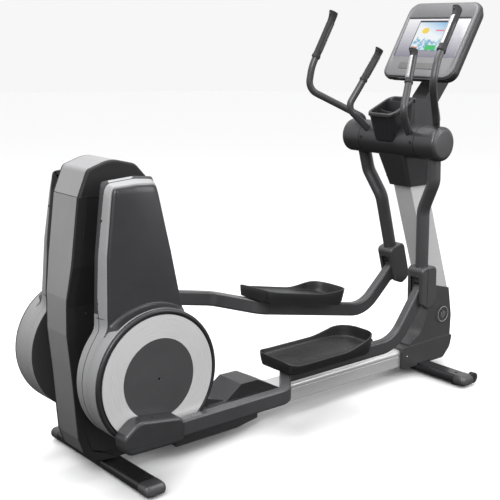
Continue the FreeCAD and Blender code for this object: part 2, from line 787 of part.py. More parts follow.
def accessory_tray():
    """Open bin astride the pivot housing, with a divider across it."""
    outline = [(1380, -50), (1420, -60), (1534, -78), (1534, 78), (1420, 60), (1380, 50)]
    body = plan_prism(outline, [20, 10, 14, 14, 10, 20], 1120, 1330)
    slope = [(1300, 1226 - 41), (1380, 1226), (1534, 1304), (1700, 1388), (1700, 1500), (1300, 1500)]
    body = body.cut(side_prism(slope, 0.0, -200, 200))
    nose = [(1300, 1000), (1412, 1118), (1380, 1226), (1300, 1240)]
    body = body.cut(side_prism(nose, 0.0, -200, 200))
    body = body.cut(axle(pivot, housing_radius + seat_gap, -200, 200))
    body = body.cut(block(1440, 1600, -200, 200, 1100, 1150))
    for x_from, x_to, half, floor in ((1388, 1444, 44, 1204), (1450, 1527, 58, 1204)):
        bin_outline = [(x_from, -half), (x_to, -half - 6), (x_to, half + 6), (x_from, half)]
        body = body.cut(plan_prism(bin_outline, 10.0, floor, 1400))
    for side in (-1, 1):
        body = body.cut(fixed_handle_bar(side, handle_radius + seat_gap + 1.0))
    solids = sorted(body.Solids, key=lambda s: s.Volume)
    return solids[-1]


# ---- console ----
def console_face(inset, depth_from, depth_to):
    half = console_height / 2.0 - inset
    top, low = console_half_top - inset, console_half_low - inset
    corner = console_corner - min(inset, 20.0)
    loop = [(-low, -half), (low, -half), (top, half), (-top, half)]
    return end_prism(loop, corner, depth_from, depth_to)


def console_bezel():
    body = console_face(0.0, 0.0, bezel_depth)
    edges = [e for e in body.Edges if e.BoundBox.XMax < 0.1]
    body = body.makeFillet(5.0, edges)
    body = body.cut(console_face(console_wall, 8.0, bezel_depth + 1))
    body = body.cut(block(-1, 6.0, -glass_half, glass_half, glass_low, glass_top))
    strip = block(-1, 2.0, -132, 132, key_level - 14, key_level + 14)
    body = body.cut(strip)
    for i in (-1, 0, 1):
        body = body.cut(block(-1, 9, i * key_pitch - key_size / 2 - 0.4, i * key_pitch + key_size / 2 + 0.4,
                              key_level - 9.4, key_level + 9.4))
    return on_console(body)


def console_rear_housing():
    front = rounded_loop([Vec(bezel_depth + 0.2, y, z) for y, z in console_corners(0.0)], console_corner)
    back = rounded_loop([Vec(console_depth, y, z) for y, z in console_corners(26.0)], console_corner - 10)
    body = Part.makeLoft([front, back], True, True)
    front_in = rounded_loop([Vec(bezel_depth - 1, y, z) for y, z in console_corners(4.0)], console_corner - 4)
    back_in = rounded_loop([Vec(console_depth - 5, y, z) for y, z in console_corners(28.0)],
                           console_corner - 12)
    body = body.cut(Part.makeLoft([front_in, back_in], True, True))
    for y in (30.0, 62.0):
        hole = Part.makeCylinder(4.0, 60, Vec(bezel_depth + 9, -y, -console_height / 2 - 20))
        body = body.cut(hole)
    return on_console(body)


def console_corners(inset):
    half = console_height / 2.0 - inset
    top, low = console_half_top - inset, console_half_low - inset
    return [(-low, -half), (low, -half), (top, half), (-top, half)]


def display_glass():
    pane = block(2.0, 6.0, -glass_half + 0.3, glass_half - 0.3, glass_low + 0.3, glass_top - 0.3)
    window = block(1.0, 4.0, -screen_half - 0.2, screen_half + 0.2, screen_low - 0.2, screen_top + 0.2)
    return on_console(pane.cut(window))


def touchscreen():
    return on_console(block(1.4, 4.0, -screen_half, screen_half, screen_low, screen_top))


def console_key(index):
    face = block(0.2, 7.0, index * key_pitch - key_size / 2, index * key_pitch + key_size / 2,
                 key_level - 9, key_level + 9)
    edges = [e for e in face.Edges if e.BoundBox.XMax < 0.3]
    return on_console(face.makeFillet(0.8, edges))


# ---- handles ----
def fixed_handle_points(side):
    return [Vec(1468, side * 108, 1128), Vec(1350, side * 164, 1254), Vec(1394, side * 143, 1334),
            Vec(1480, side * 101, 1500)]


def fixed_handle_bar(side, radius):
    return tube(fixed_handle_points(side), fixed_handle_bends, radius * 2, radius * 2)


def fixed_handles():
    bars = []
    for side in (-1, 1):
        bar = fixed_handle_bar(side, handle_radius)
        bar = bar.cut(axle(pivot, cross_tube_radius, -200, 200))
        bars.append(sorted(bar.Solids, key=lambda s: s.Volume)[-1])
    return bars


def grip_between(low, high, bar_radius):
    """Rubber sleeve over the top of a handle bar, closed by a domed end."""
    direction = (high - low).normalize()
    length = (high - low).Length
    sleeve = Part.makeCylinder(grip_radius, length + 8, low, direction)
    end = [e for e in sleeve.Edges if (e.CenterOfMass - (low + direction * (length + 8))).Length < 1]
    sleeve = sleeve.makeFillet(5.0, end)
    return sleeve.cut(Part.makeCylinder(bar_radius, length, low, direction))


def fixed_grips():
    grips = []
    for side in (-1, 1):
        points = fixed_handle_points(side)
        high, bend = points[3], points[2]
        low = high + (bend - high).normalize() * 150.0
        grips.append(grip_between(low, high, handle_radius))
    return grips


def moving_handle_points():
    """Right handle, in the swing arm's upright position."""
    return [Vec(1512, -206, 1140), Vec(1520, -209, 1196), Vec(1336, -336, 1384), Vec(1374, -326, 1478),
            Vec(1536, -293, 1671)]


def moving_handle():
    bar = tube(moving_handle_points(), handle_bends, handle_radius * 2, handle_radius * 2)
    bar = bar.cut(axle(pivot, sleeve_radius, -300, 300))
    return sorted(bar.Solids, key=lambda s: s.Volume)[-1]


def moving_grip():
    points = moving_handle_points()
    high, bend = points[4], points[3]
    low = high + (bend - high).normalize() * grip_length
    return grip_between(low, high, handle_radius)


# ---- swing arms ----
def rocker_points():
    """Centre line of the right rocker, upright, from the pivot shaft down to the fork."""
    x = pivot_station
    return [Vec(x + 6, -216, pivot_height - 18), Vec(x + 8, -216, pivot_height - 172),
            Vec(x + 8, -rocker_side, pivot_height - 300), Vec(x + 6, -rocker_side, fork_top())]


def fork_top():
    return pivot_height - rocker_length + arm_eye_radius + 34.0


def swing_arm():
    """Sleeve on the pivot shaft, rocker tube, and the fork with its pin, welded together."""
    points = rocker_points()
    body = tube(points, rocker_bends, rocker_depth, rocker_width)
    inner = tube([points[0] + Vec(0, 0, -24)] + points[1:], rocker_bends, rocker_depth - 2 * rocker_wall,
                 rocker_width - 2 * rocker_wall)
    body = body.cut(inner)
    body = body.fuse(axle(pivot, sleeve_radius, -sleeve_outer_side, -sleeve_inner_side))
    joint = Vec(pivot_station, 0, pivot_height - rocker_length)
    crown = block(joint.x - 22, joint.x + 36, -rocker_side - 29, -rocker_side + 29,
                  joint.z + arm_eye_radius + 6, joint.z + arm_eye_radius + 40)
    body = body.fuse(crown)
    inner_face = arm_width / 2.0 + cheek_gap
    for side in (-1, 1):
        low, high = sorted((-rocker_side + side * inner_face,
                            -rocker_side + side * (inner_face + cheek_thickness)))
        outline = [(joint.x - 22, joint.z - 22), (joint.x + 22, joint.z - 22), (joint.x + 36, joint.z + 50),
                   (joint.x - 22, joint.z + 50)]
        body = body.fuse(side_prism(outline, [18, 18, 2, 2], low, high))
    reach = inner_face + cheek_thickness
    body = body.fuse(axle(joint, arm_pin_radius, -rocker_side - reach, -rocker_side + reach))
    body = body.cut(axle(pivot, pivot_shaft_radius + running_gap, -300, 0))
    return body.removeSplitter()


def end_housing():
    """Rotating end of the round housing, with its slightly domed cap."""
    low = housing_centre_half + cover_gap
    body = axle(pivot, housing_radius, -housing_half, -low)
    rim = [e for e in body.Edges if e.BoundBox.YMax < -housing_half + 0.1 and e.BoundBox.XLength > 1]
    body = body.makeFillet(end_housing_nose, rim)
    body = body.cut(axle(pivot, housing_radius - housing_wall, -housing_half + housing_wall, -low + 1))
    points = rocker_points()
    body = body.cut(tube(points, rocker_bends, rocker_depth + 1, rocker_width + 1))
    body = body.cut(tube(moving_handle_points(), handle_bends, 2 * handle_radius + 1,
                         2 * handle_radius + 1))
    return sorted(body.Solids, key=lambda s: s.Volume)[-1].removeSplitter()


def rocker_cover():
    """Plastic case around the fork, open behind and below for the pedal arm."""
    joint_z = pivot_height - rocker_length
    low, high = joint_z - 86.0, joint_z + 112.0
    near, far = -rocker_side - 46.0, -rocker_side + 46.0
    x_rear, x_front = pivot_station - 38.0, pivot_station + 60.0
    outline = [(x_rear, low + 30), (x_rear + 40, low), (x_front, low + 14), (x_front, high), (x_rear, high)]
    body = side_prism(outline, [12, 24, 40, 26, 22], near, far)
    flank = [e for e in body.Edges if e.BoundBox.YLength < 0.1]
    body = body.makeFillet(9.0, flank)
    wall = 4.0
    inner = [(x_rear + wall, low + 34), (x_rear + 42, low + wall), (x_front - wall, low + 18),
             (x_front - wall, high - wall), (x_rear + wall, high - wall)]
    body = body.cut(side_prism(inner, [8, 20, 34, 20, 16], near + wall, far - wall))
    half_slot = arm_width / 2.0 + 4.0
    slot = side_prism([(x_rear - 60, low - 40), (x_front - 14, low - 40), (x_front - 30, joint_z - 20),
                       (x_rear + 20, joint_z + 66), (x_rear - 60, joint_z + 66)], 0.0,
                      -rocker_side - half_slot, -rocker_side + half_slot)
    body = body.cut(slot)
    points = rocker_points()
    body = body.cut(tube(points, rocker_bends, rocker_depth + 1, rocker_width + 1))
    return sorted(body.Solids, key=lambda s: s.Volume)[-1]


# ---- pedal arms ----
def arm_points():
    """Centre line of the right pedal arm at rest, from its rear end to the fork pin."""
    return [Vec(right_pin.x - 60, -arm_rear_side, arm_level), Vec(jog_rear_station, -arm_rear_side, arm_level),
            Vec(jog_front_station, -rocker_side, arm_level), Vec(right_joint.x - 166, -rocker_side, arm_level),
            Vec(right_joint.x, -rocker_side, right_joint.z)]


def pedal_arm():
    """Bent box tube with an eye at the fork pin and a stub pin towards the crank disc."""
    points = arm_points()
    along = (points[-1] - points[-2]).normalize()
    points[-1] = points[-1] - along * 6.0
    body = tube(points, arm_bends, arm_height, arm_width, 9.0)
    body = body.cut(tube(points, arm_bends, arm_height - 2 * arm_wall, arm_width - 2 * arm_wall, 5.0))
    body = body.fuse(axle(right_joint, arm_eye_radius, -rocker_side - arm_width / 2,
                          -rocker_side + arm_width / 2))
    body = body.cut(axle(right_joint, arm_pin_radius + running_gap, -rocker_side - 60, -rocker_side + 60))
    stub = axle(right_pin, 16.0, -arm_rear_side + arm_width / 2 - 6, -drum_outer_side - 1.5)
    body = body.fuse(stub)
    return body.removeSplitter()


def arm_boot():
    """Rounded plastic boot over the rear end of the arm."""
    x_rear, x_front = right_pin.x - boot_rear_reach, right_pin.x + boot_front_reach
    low, high = right_pin.z - boot_height / 2, right_pin.z + boot_height / 2
    outline = [(x_rear, low + 10), (x_front, low + 4), (x_front, high - 28), (x_rear + 60, high),
               (x_rear, high - 44)]
    outer_side = -arm_rear_side - boot_half_width
    inner_side = -drum_outer_side - 2.5
    body = side_prism(outline, [40, 16, 30, 60, 30], outer_side, inner_side)
    edges = [e for e in body.Edges if e.BoundBox.YMax < outer_side + 0.1]
    body = body.makeFillet(12.0, edges)
    room = tube([p + Vec(-3, 0, 0) if i == 0 else p for i, p in enumerate(arm_points())], arm_bends,
                arm_height + 1, arm_width + 1, 9.0)
    body = body.cut(room)
    body = body.cut(axle(right_pin, 16.5, -arm_rear_side, 0))
    return sorted(body.Solids, key=lambda s: s.Volume)[-1]


def pedal():
    """Foot tray with a low outer rim and a high inner and front rim."""
    base = arm_level + arm_height / 2.0
    inner, outer = -rocker_side + pedal_inner_reach, -rocker_side - pedal_outer_reach
    rear, front = pedal_rear_station, pedal_front_station
    outline = [(rear, outer + 8), (front - 90, outer), (front, -rocker_side - 30), (front - 40, inner),
               (rear + 10, inner - 6)]
    body = plan_prism(outline, [30, 120, 60, 60, 34], base, base + pedal_high_rim)
    under = [e for e in body.Edges if e.BoundBox.ZMax < base + 0.1]
    body = body.makeChamfer(14.0, under)
    wall = pedal_wall
    hollow = [(rear + wall, outer + 8 + wall), (front - 92, outer + wall), (front - wall - 2, -rocker_side - 30),
              (front - 42, inner - wall), (rear + 10 + wall, inner - 6 - wall)]
    body = body.cut(plan_prism(hollow, [24, 112, 54, 54, 28], base + pedal_floor, base + 200))
    low_side = [(outer - 30, base + pedal_low_rim), (-rocker_side, base + pedal_low_rim + 6),
                (inner - 24, base + pedal_high_rim - 4), (inner + 30, base + pedal_high_rim),
                (inner + 30, base + 220), (outer - 30, base + 220)]
    body = body.cut(end_prism(low_side, [0, 60, 40, 0, 0, 0], rear - 20, front - 120))
    ramp = side_prism([(front - 121, base + pedal_low_rim + 6), (front - 20, base + pedal_high_rim - 18),
                       (front + 30, base + pedal_high_rim - 18), (front + 30, base + 220),
                       (front - 121, base + 220)], 0.0, outer - 30, -rocker_side)
    body = body.cut(ramp)
    heel = side_prism([(rear - 20, base + pedal_low_rim + 4), (rear + 60, base + pedal_low_rim + 30),
                       (rear + 60, base + 220), (rear - 20, base + 220)], 0.0, outer - 30, inner + 30)
    body = body.cut(heel)
    return body.removeSplitter()


def left_arm(shape):
    """Mirror of a right-hand arm piece, pitched so that it reaches the left crank pin."""
    other = mirrored(shape)
    right_line = right_pin - right_joint
    left_line = left_pin - left_joint
    pitch = math.atan2(left_line.z, left_line.x) - math.atan2(right_line.z, right_line.x)
    other.translate(left_joint - right_joint)
    other.rotate(left_joint, Vec(0, 1, 0), -math.degrees(pitch))
    return other


def transport_wheel(side):
    y = side * wheel_side()
    wheel = ring(wheel_centre(), wheel_radius, 4.0, y - wheel_width / 2, y + wheel_width / 2)
    return wheel


def build():
    save("main_beam", main_beam())
    save("rear_frame", rear_frame())
    save("rear_stabilizer", stabilizer(rear_stabilizer_station))
    save("front_stabilizer", stabilizer(front_stabilizer_station))
    save("stabilizer_end_caps", stabilizer_caps())
    save("mast", mast())
    save("pivot_shaft", axle(pivot, pivot_shaft_radius, -pivot_shaft_half, pivot_shaft_half))
    for place, station in (("rear", rear_stabilizer_station), ("front", front_stabilizer_station)):
        for hand, side in (("right", -1), ("left", 1)):
            save("levelling_foot_" + place + "_" + hand, levelling_foot(station, side))
    save("crankshaft", crankshaft())
    save("crank_discs", crank_discs())
    save("disc_rings", disc_rings())
    save("crank_bearings", crank_bearings())
    save("drive_pulley", drive_pulley())
    save("generator_pulley", generator_pulley())
    save("generator", generator())
    save("drive_belt", drive_belt())
    save("drum_outer_cover_right", drum_outer_cover(-1))
    save("drum_outer_cover_left", drum_outer_cover(1))
    save("drum_inner_covers", [drum_inner_cover(-1), drum_inner_cover(1)])
    save("tower_back_cover", tower_back_cover())
    save("tower_side_panels", tower_side_panels())
    save("tower_front_cover", tower_front_cover())
    save("tower_cap", tower_cap())
    save("rear_base_fairing", rear_base_fairing())
    save("front_base_shroud", front_base_shroud())
    save("pivot_housing", pivot_housing())
    save("neck_shroud", neck_shroud())
    save("upper_neck_cover", upper_neck_cover())
    save("accessory_tray", accessory_tray())
    save("console_bracket", console_bracket())
    save("console_bezel", console_bezel())
    save("console_rear_housing", console_rear_housing())
    save("display_glass", display_glass())
    save("touchscreen", touchscreen())
    for index, name in ((-1, "stop_key"), (0, "pause_key"), (1, "start_key")):
        save(name, console_key(index))
    save("fixed_handles", fixed_handles())
    save("fixed_grips", fixed_grips())
    for hand, side in (("right", -1), ("left", 1)):
        save("transport_wheel_" + hand, transport_wheel(side))
    for name, shape in (("swing_arm", swing_arm()), ("end_housing", end_housing()),
                        ("rocker_cover", rocker_cover()), ("moving_handle", moving_handle()),
                        ("moving_grip", moving_grip())):
        save(name + "_right", swung(shape, right_swing))
        save(name + "_left", swung(mirrored(shape), left_swing))
    for name, shape in (("pedal_arm", pedal_arm()), ("arm_boot", arm_boot()), ("pedal", pedal())):
        save(name + "_right", shape)
        save(name + "_left", left_arm(shape))


if __name__ == "__main__":
    build()
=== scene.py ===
import math

import bmesh
import bpy
import numpy as np
from mathutils import Matrix, Vector


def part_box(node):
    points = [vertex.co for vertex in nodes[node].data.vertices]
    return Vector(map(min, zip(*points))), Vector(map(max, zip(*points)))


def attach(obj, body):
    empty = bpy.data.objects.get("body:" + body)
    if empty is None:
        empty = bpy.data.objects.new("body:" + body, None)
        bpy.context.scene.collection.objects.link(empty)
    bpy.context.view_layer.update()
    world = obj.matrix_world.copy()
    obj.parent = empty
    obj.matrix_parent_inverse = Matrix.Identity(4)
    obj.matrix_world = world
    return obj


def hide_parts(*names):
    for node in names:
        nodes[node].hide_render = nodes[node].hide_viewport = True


# Elliptical trainer. +X runs to the console, -Y is the user's right, metres.

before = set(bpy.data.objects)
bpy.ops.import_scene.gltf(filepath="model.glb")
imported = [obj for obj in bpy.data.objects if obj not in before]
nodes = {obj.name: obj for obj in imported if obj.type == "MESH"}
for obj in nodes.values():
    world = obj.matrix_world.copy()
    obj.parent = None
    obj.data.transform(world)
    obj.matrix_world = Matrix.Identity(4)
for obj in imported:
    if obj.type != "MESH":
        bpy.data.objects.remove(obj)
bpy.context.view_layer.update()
print("frame loaded,", len(nodes), "nodes")


class Net:
    # a material's node tree with short calls to add and join nodes

    def __init__(self, name):
        self.material = bpy.data.materials.new(name)
        self.material.use_nodes = True
        self.tree = self.material.node_tree
        self.shader = self.tree.nodes["Principled BSDF"]

    def add(self, kind, inputs=None, **settings):
        node = self.tree.nodes.new("ShaderNode" + kind)
        for key, value in settings.items():
            setattr(node, key, value)
        for key, value in (inputs or {}).items():
            socket = node.inputs[key]
            if isinstance(value, bpy.types.NodeSocket):
                self.tree.links.new(value, socket)
            else:
                socket.default_value = value
        return node

    def calc(self, kind, first, second=0.0):
        return self.add("Math", {0: first, 1: second}, operation=kind).outputs[0]

    def ranged(self, value, low, high, toLow, toHigh):
        keys = {"Value": value, "From Min": low, "From Max": high, "To Min": toLow, "To Max": toHigh}
        return self.add("MapRange", keys).outputs["Result"]

    def mixed(self, factor, first, second, how="MIX"):
        node = self.add("Mix", {"Factor": factor}, data_type="RGBA", blend_type=how)
        for key, value in ((6, first), (7, second)):
            if isinstance(value, bpy.types.NodeSocket):
                self.tree.links.new(value, node.inputs[key])
            else:
                node.inputs[key].default_value = (*value, 1)
        return node.outputs[2]

    def grey(self, value):
        return self.add("CombineColor", {0: value, 1: value, 2: value}).outputs[0]

    def noise(self, vector, scale, detail=2.0, rough=0.5):
        keys = {"Vector": vector, "Scale": scale, "Detail": detail, "Roughness": rough}
        return self.add("TexNoise", keys).outputs["Fac"]

    def give(self, **sockets):
        for key, value in sockets.items():
            socket = self.shader.inputs[key.replace("_", " ")]
            if isinstance(value, bpy.types.NodeSocket):
                self.tree.links.new(value, socket)
            else:
                socket.default_value = value


# camera, light and floor
studio = {
    "cameraPlace": (-2.5907, -2.9471, 1.5954),
    "azimuth": -39.56,          # degrees, from straight ahead towards +X
    "elevation": 12.78,         # degrees, looking down
    "roll": -0.14,
    "lens": 70.2,               # millimetres, on a sensor 36 wide
    "skyTop": 1.25,
    "skyHorizon": 0.72,
    "skyBelow": 0.05,
    "floorHalf": 40.0,
    "backdropReach": 22.0,
    "backdropHeight": 14.0,
    "backdropGlow": 0.905,
    "backdropSides": 96,
    "floorTone": (0.86, 0.86, 0.865),
}
softboxes = {
    # name: (place, aims at, width, height, watts)
    "keyLight": ((-3.4, -2.6, 3.6), (-0.3, 0, 0.7), 2.6, 2.6, 170),
    "sideLight": ((2.6, -3.6, 2.4), (0.2, 0, 0.8), 1.6, 2.8, 75),
    "topLight": ((0.2, 0.6, 4.2), (0, 0, 0.6), 3.4, 2.2, 120),
}


def aimedRotation(place, target):
    return (Vector(target) - Vector(place)).to_track_quat("-Z", "Y")


def makeCamera(look):
    az = math.radians(look["azimuth"])
    el = math.radians(look["elevation"])
    ahead = Vector((-math.sin(az) * math.cos(el), math.cos(az) * math.cos(el), -math.sin(el)))
    camera = bpy.data.objects.new("camera", bpy.data.cameras.new("camera"))
    camera.data.lens = look["lens"]
    camera.data.sensor_width = 36.0
    camera.location = look["cameraPlace"]
    turn = Matrix.Rotation(math.radians(look["roll"]), 4, ahead)
    camera.rotation_mode = "QUATERNION"
    camera.rotation_quaternion = turn.to_quaternion() @ ahead.to_track_quat("-Z", "Y")
    bpy.context.scene.collection.objects.link(camera)
    bpy.context.scene.camera = camera


def makeSky(look):
    # brightness follows the height of the direction: dark below, mid at the horizon, bright above
    world = bpy.data.worlds.new("studioSky")
    world.use_nodes = True
    bpy.context.scene.world = world
    net = world.node_tree
    place = net.nodes.new("ShaderNodeTexCoord")
    split = net.nodes.new("ShaderNodeSeparateXYZ")
    ramp = net.nodes.new("ShaderNodeValToRGB")
    spread = net.nodes.new("ShaderNodeMapRange")
    net.links.new(place.outputs["Generated"], split.inputs[0])
    spread.inputs["From Min"].default_value = -1.0
    net.links.new(split.outputs["Z"], spread.inputs["Value"])
    net.links.new(spread.outputs["Result"], ramp.inputs["Fac"])
    stops = ramp.color_ramp.elements
    stops[0].position = 0.30
    stops[0].color = (look["skyBelow"],) * 3 + (1,)
    stops[1].position = 0.95
    stops[1].color = (look["skyTop"],) * 3 + (1,)
    middle = stops.new(0.52)
    middle.color = (look["skyHorizon"],) * 3 + (1,)
    background = net.nodes["Background"]
    net.links.new(ramp.outputs["Color"], background.inputs["Color"])


def makeSoftboxes(boxes):
    for name, (place, target, width, height, watts) in boxes.items():
        light = bpy.data.lights.new(name, "AREA")
        light.shape = "RECTANGLE"
        light.size = width
        light.size_y = height
        light.energy = watts
        lamp = bpy.data.objects.new(name, light)
        lamp.location = place
        lamp.rotation_mode = "QUATERNION"
        lamp.rotation_quaternion = aimedRotation(place, target)
        bpy.context.scene.collection.objects.link(lamp)


def stagePiece(name, points, faces, **sockets):
    # a plain surface outside the model, not seen in reflections or bounced light
    mesh = bpy.data.meshes.new(name)
    mesh.from_pydata(points, [], faces)
    piece = bpy.data.objects.new(name, mesh)
    bpy.context.scene.collection.objects.link(piece)
    net = Net(name + "Finish")
    net.give(**sockets)
    mesh.materials.append(net.material)
    piece.visible_diffuse = False
    piece.visible_glossy = False
    return piece


def makeFloor(look):
    half = look["floorHalf"]
    corners = [(-half, -half, 0), (half, -half, 0), (half, half, 0), (-half, half, 0)]
    floor = stagePiece("floor", corners, [(0, 1, 2, 3)], Base_Color=(*look["floorTone"], 1), Roughness=0.9)


def makeBackdrop(look):
    # upright pale ring far behind the floor, seen by the camera only
    sides = look["backdropSides"]
    turn = np.linspace(0, 2 * np.pi, sides, endpoint=False)
    ring = look["backdropReach"] * np.stack([np.cos(turn), np.sin(turn)], 1)
    points = [(x, y, z) for z in (-1.0, look["backdropHeight"]) for x, y in ring]
    faces = [(k, (k + 1) % sides, (k + 1) % sides + sides, k + sides) for k in range(sides)]
    backdrop = stagePiece("backdrop", points, faces, Base_Color=(0, 0, 0, 1), Emission_Color=(1, 1, 1, 1),
                          Emission_Strength=look["backdropGlow"])
    backdrop.visible_shadow = False


makeCamera(studio)
makeSky(studio)
makeSoftboxes(softboxes)
makeFloor(studio)
makeBackdrop(studio)
bpy.context.scene.view_settings.view_transform = "Standard"
print("studio ready")


crankCentre = (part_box("crankshaft")[0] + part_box("crankshaft")[1]) / 2


# finishes
def edgeNormal(net, radius):
    # rounded normal and how far it is from the flat one: 0 on faces, up to 1 on edges
    soft = net.add("Bevel", {"Radius": radius}, samples=4).outputs["Normal"]
    flat = net.add("NewGeometry").outputs["Normal"]
    dot = net.add("VectorMath", {0: soft, 1: flat}, operation="DOT_PRODUCT").outputs["Value"]
    edge = net.ranged(dot, 0.99, 0.75, 0.0, 1.0)
    return soft, edge


def mouldedFinish(name, look, recolour=None):
    # even colour with slow cloudy shade, fine moulded grain, and paler edges that are partly rubbed wear and
    # partly a painted highlight
    net = Net(name)
    place = net.add("TexCoord").outputs["Object"]
    soft, edge = edgeNormal(net, look["edgeRadius"])
    cloud = net.noise(place, look["cloudSize"], 4.0, 0.6)
    darker = tuple(c * (1 - look["shade"]) for c in look["colour"])
    lighter = tuple(c * (1 + look["shade"]) for c in look["colour"])
    body = net.mixed(net.ranged(cloud, 0.3, 0.7, 0.0, 1.0), darker, lighter)
    fine = net.noise(place, look["grain"], 3.0, 0.7)
    speck = net.ranged(fine, 0.35, 0.75, 1 - look["speck"], 1 + look["speck"])
    body = net.mixed(1.0, body, net.grey(speck), "MULTIPLY")
    # paler edges, broken up by noise: partly rubbed wear, partly a painted edge highlight
    wornAndHighlit = net.calc("MULTIPLY", edge, net.ranged(net.noise(place, 60.0, 5.0), 0.3, 0.65, 0.25, 1.0))
    body = net.mixed(net.calc("MULTIPLY", wornAndHighlit, look["wearAndHighlight"]), body, look["wearAndHighlightColour"])
    if recolour:
        body = recolour(net, body)
    smear = net.noise(place, look["cloudSize"] * 5.0, 5.0, 0.65)
    spread = look["roughSpread"]
    rough = net.ranged(smear, 0.3, 0.7, look["rough"] - spread, look["rough"] + spread)
    bump = net.add("Bump", {"Strength": look["grainDepth"], "Distance": 0.0004, "Height": fine,
                            "Normal": soft})
    net.give(Base_Color=body, Roughness=rough, Normal=bump.outputs[0], Metallic=look["metal"],
             IOR=look["ior"], Coat_Weight=look["coat"], Coat_Roughness=look["coatRough"])
    return net.material


plastic = {
    "colour": (0.060, 0.060, 0.063), "shade": 0.08, "cloudSize": 5.0, "grain": 1500.0, "speck": 0.10,
    "grainDepth": 0.20, "rough": 0.36, "roughSpread": 0.05, "metal": 0.55, "ior": 1.48,
    # the paler edge colour is partly rubbed wear and partly a painted highlight
    "coat": 0.0, "coatRough": 0.2, "wearAndHighlight": 0.35, "wearAndHighlightColour": (0.13, 0.13, 0.135), "edgeRadius": 0.0022,
}
finishes = {
    "charcoalPlastic": {**plastic},
    "blackPlastic": {**plastic, "colour": (0.014, 0.014, 0.015), "rough": 0.38, "metal": 0.1,
                     "wearAndHighlightColour": (0.07, 0.07, 0.072)},
    "silverGreyPlastic": {**plastic, "colour": (0.30, 0.30, 0.305), "shade": 0.04, "metal": 0.36,
                          "rough": 0.6, "speck": 0.16, "wearAndHighlight": 0.08, "wearAndHighlightColour": (0.42, 0.42, 0.42),
                          "edgeRadius": 0.003},
    "consoleGrey": {**plastic, "colour": (0.145, 0.145, 0.15), "shade": 0.05, "metal": 0.4, "rough": 0.38,
                    "wearAndHighlightColour": (0.4, 0.4, 0.4)},
    "consoleSide": {**plastic, "colour": (0.055, 0.055, 0.058), "rough": 0.38,
                    "wearAndHighlightColour": (0.2, 0.2, 0.2)},
    "charcoalPaint": {**plastic, "colour": (0.056, 0.056, 0.059), "rough": 0.38, "wearAndHighlight": 0.08, "grain": 900.0,
                      "metal": 0.25, "grainDepth": 0.14, "coat": 0.25, "coatRough": 0.25,
                      "wearAndHighlightColour": (0.2, 0.2, 0.205)},
    "blackPaint": {**plastic, "colour": (0.028, 0.028, 0.030), "rough": 0.30, "grain": 700.0,
                   "grainDepth": 0.18, "coat": 0.3, "coatRough": 0.2, "wearAndHighlightColour": (0.16, 0.16, 0.16)},
    "discCharcoal": {**plastic, "colour": (0.075, 0.075, 0.078), "rough": 0.36, "metal": 0.35},
    "frameSteel": {**plastic, "colour": (0.03, 0.03, 0.032), "rough": 0.45, "grain": 500.0},
    "castGrey": {**plastic, "colour": (0.10, 0.10, 0.105), "rough": 0.55, "grain": 260.0, "grainDepth": 0.5},
    "finCharcoal": {**plastic, "colour": (0.046, 0.046, 0.049), "metal": 0.6, "rough": 0.33},
    "keyStripGrey": {**plastic, "colour": (0.12, 0.12, 0.12), "rough": 0.4, "metal": 0.3},
    "housingGrey": {**plastic, "colour": (0.078, 0.078, 0.082), "rough": 0.33, "metal": 0.7},
    "capGrey": {**plastic, "colour": (0.085, 0.085, 0.088), "rough": 0.36, "metal": 0.5},
    "pedalBlack": {**plastic, "colour": (0.020, 0.020, 0.021), "rough": 0.34, "metal": 0.2},
    "trayBlack": {**plastic, "colour": (0.030, 0.030, 0.032), "rough": 0.30, "metal": 0.4},
    "cableBlack": {**plastic, "colour": (0.006, 0.006, 0.006), "rough": 0.5, "metal": 0.0, "wearAndHighlight": 0.0},
    "rubber": {**plastic, "colour": (0.014, 0.014, 0.015), "metal": 0.0, "rough": 0.62, "grain": 1900.0,
               "speck": 0.2, "grainDepth": 0.35, "wearAndHighlight": 0.2, "wearAndHighlightColour": (0.05, 0.05, 0.05), "ior": 1.5},
}


towerLook = {
    "wideHalf": 0.0790, "narrowHalf": 0.0665,   # half widths of the grey, at the two levels
    "waist": (0.66, 0.81),
    "flank": 0.30,                              # faces turned to the side past this are black
    "dark": (0.016, 0.016, 0.017),
    # painted shade: heights over which the grey darkens towards the floor, and its tone at the bottom
    "paintedShade": (0.12, 0.85), "lowTone": 0.42,
}
twoTone = {
    "level": crankCentre.z + 0.236,
    "upper": (0.040, 0.040, 0.042),
    "facing": 0.5, "steep": 0.6,                # how far a face turns to the side, and upwards
}


def placeAndTurn(net):
    # position and facing of the surface, each as x, y, z sockets
    place = net.add("SeparateXYZ", {0: net.add("TexCoord").outputs["Object"]}).outputs
    turned = net.add("SeparateXYZ", {0: net.add("NewGeometry").outputs["True Normal"]}).outputs
    return place, turned


def towerTone(net, grey, look=towerLook):
    # grey on the back and the crown, black on the flanks, and a painted shade that darkens the grey towards
    # the floor
    place, turned = placeAndTurn(net)
    half = net.ranged(place[2], *look["waist"], look["narrowHalf"], look["wideHalf"])
    beyond = net.calc("GREATER_THAN", net.calc("ABSOLUTE", place[1]), half)
    flank = net.calc("GREATER_THAN", net.calc("ABSOLUTE", turned[1]), look["flank"])
    # painted shade: the grey is multiplied darker towards the floor
    paintedShade = net.ranged(place[2], *look["paintedShade"], look["lowTone"], 1.0)
    grey = net.mixed(1.0, grey, net.grey(paintedShade), "MULTIPLY")
    return net.mixed(net.calc("MAXIMUM", flank, beyond), grey, look["dark"])


def innerTone(net, grey, look=twoTone):
    # grey round the drum, darker above a level and on flat inner faces
    place, turned = placeAndTurn(net)
    above = net.calc("GREATER_THAN", place[2], look["level"])
    upright = net.calc("LESS_THAN", turned[2], look["steep"])
    flat = net.calc("GREATER_THAN", net.calc("ABSOLUTE", turned[1]), look["facing"])
    dark = net.calc("MAXIMUM", net.calc("MULTIPLY", above, upright), flat)
    return net.mixed(dark, grey, look["upper"])


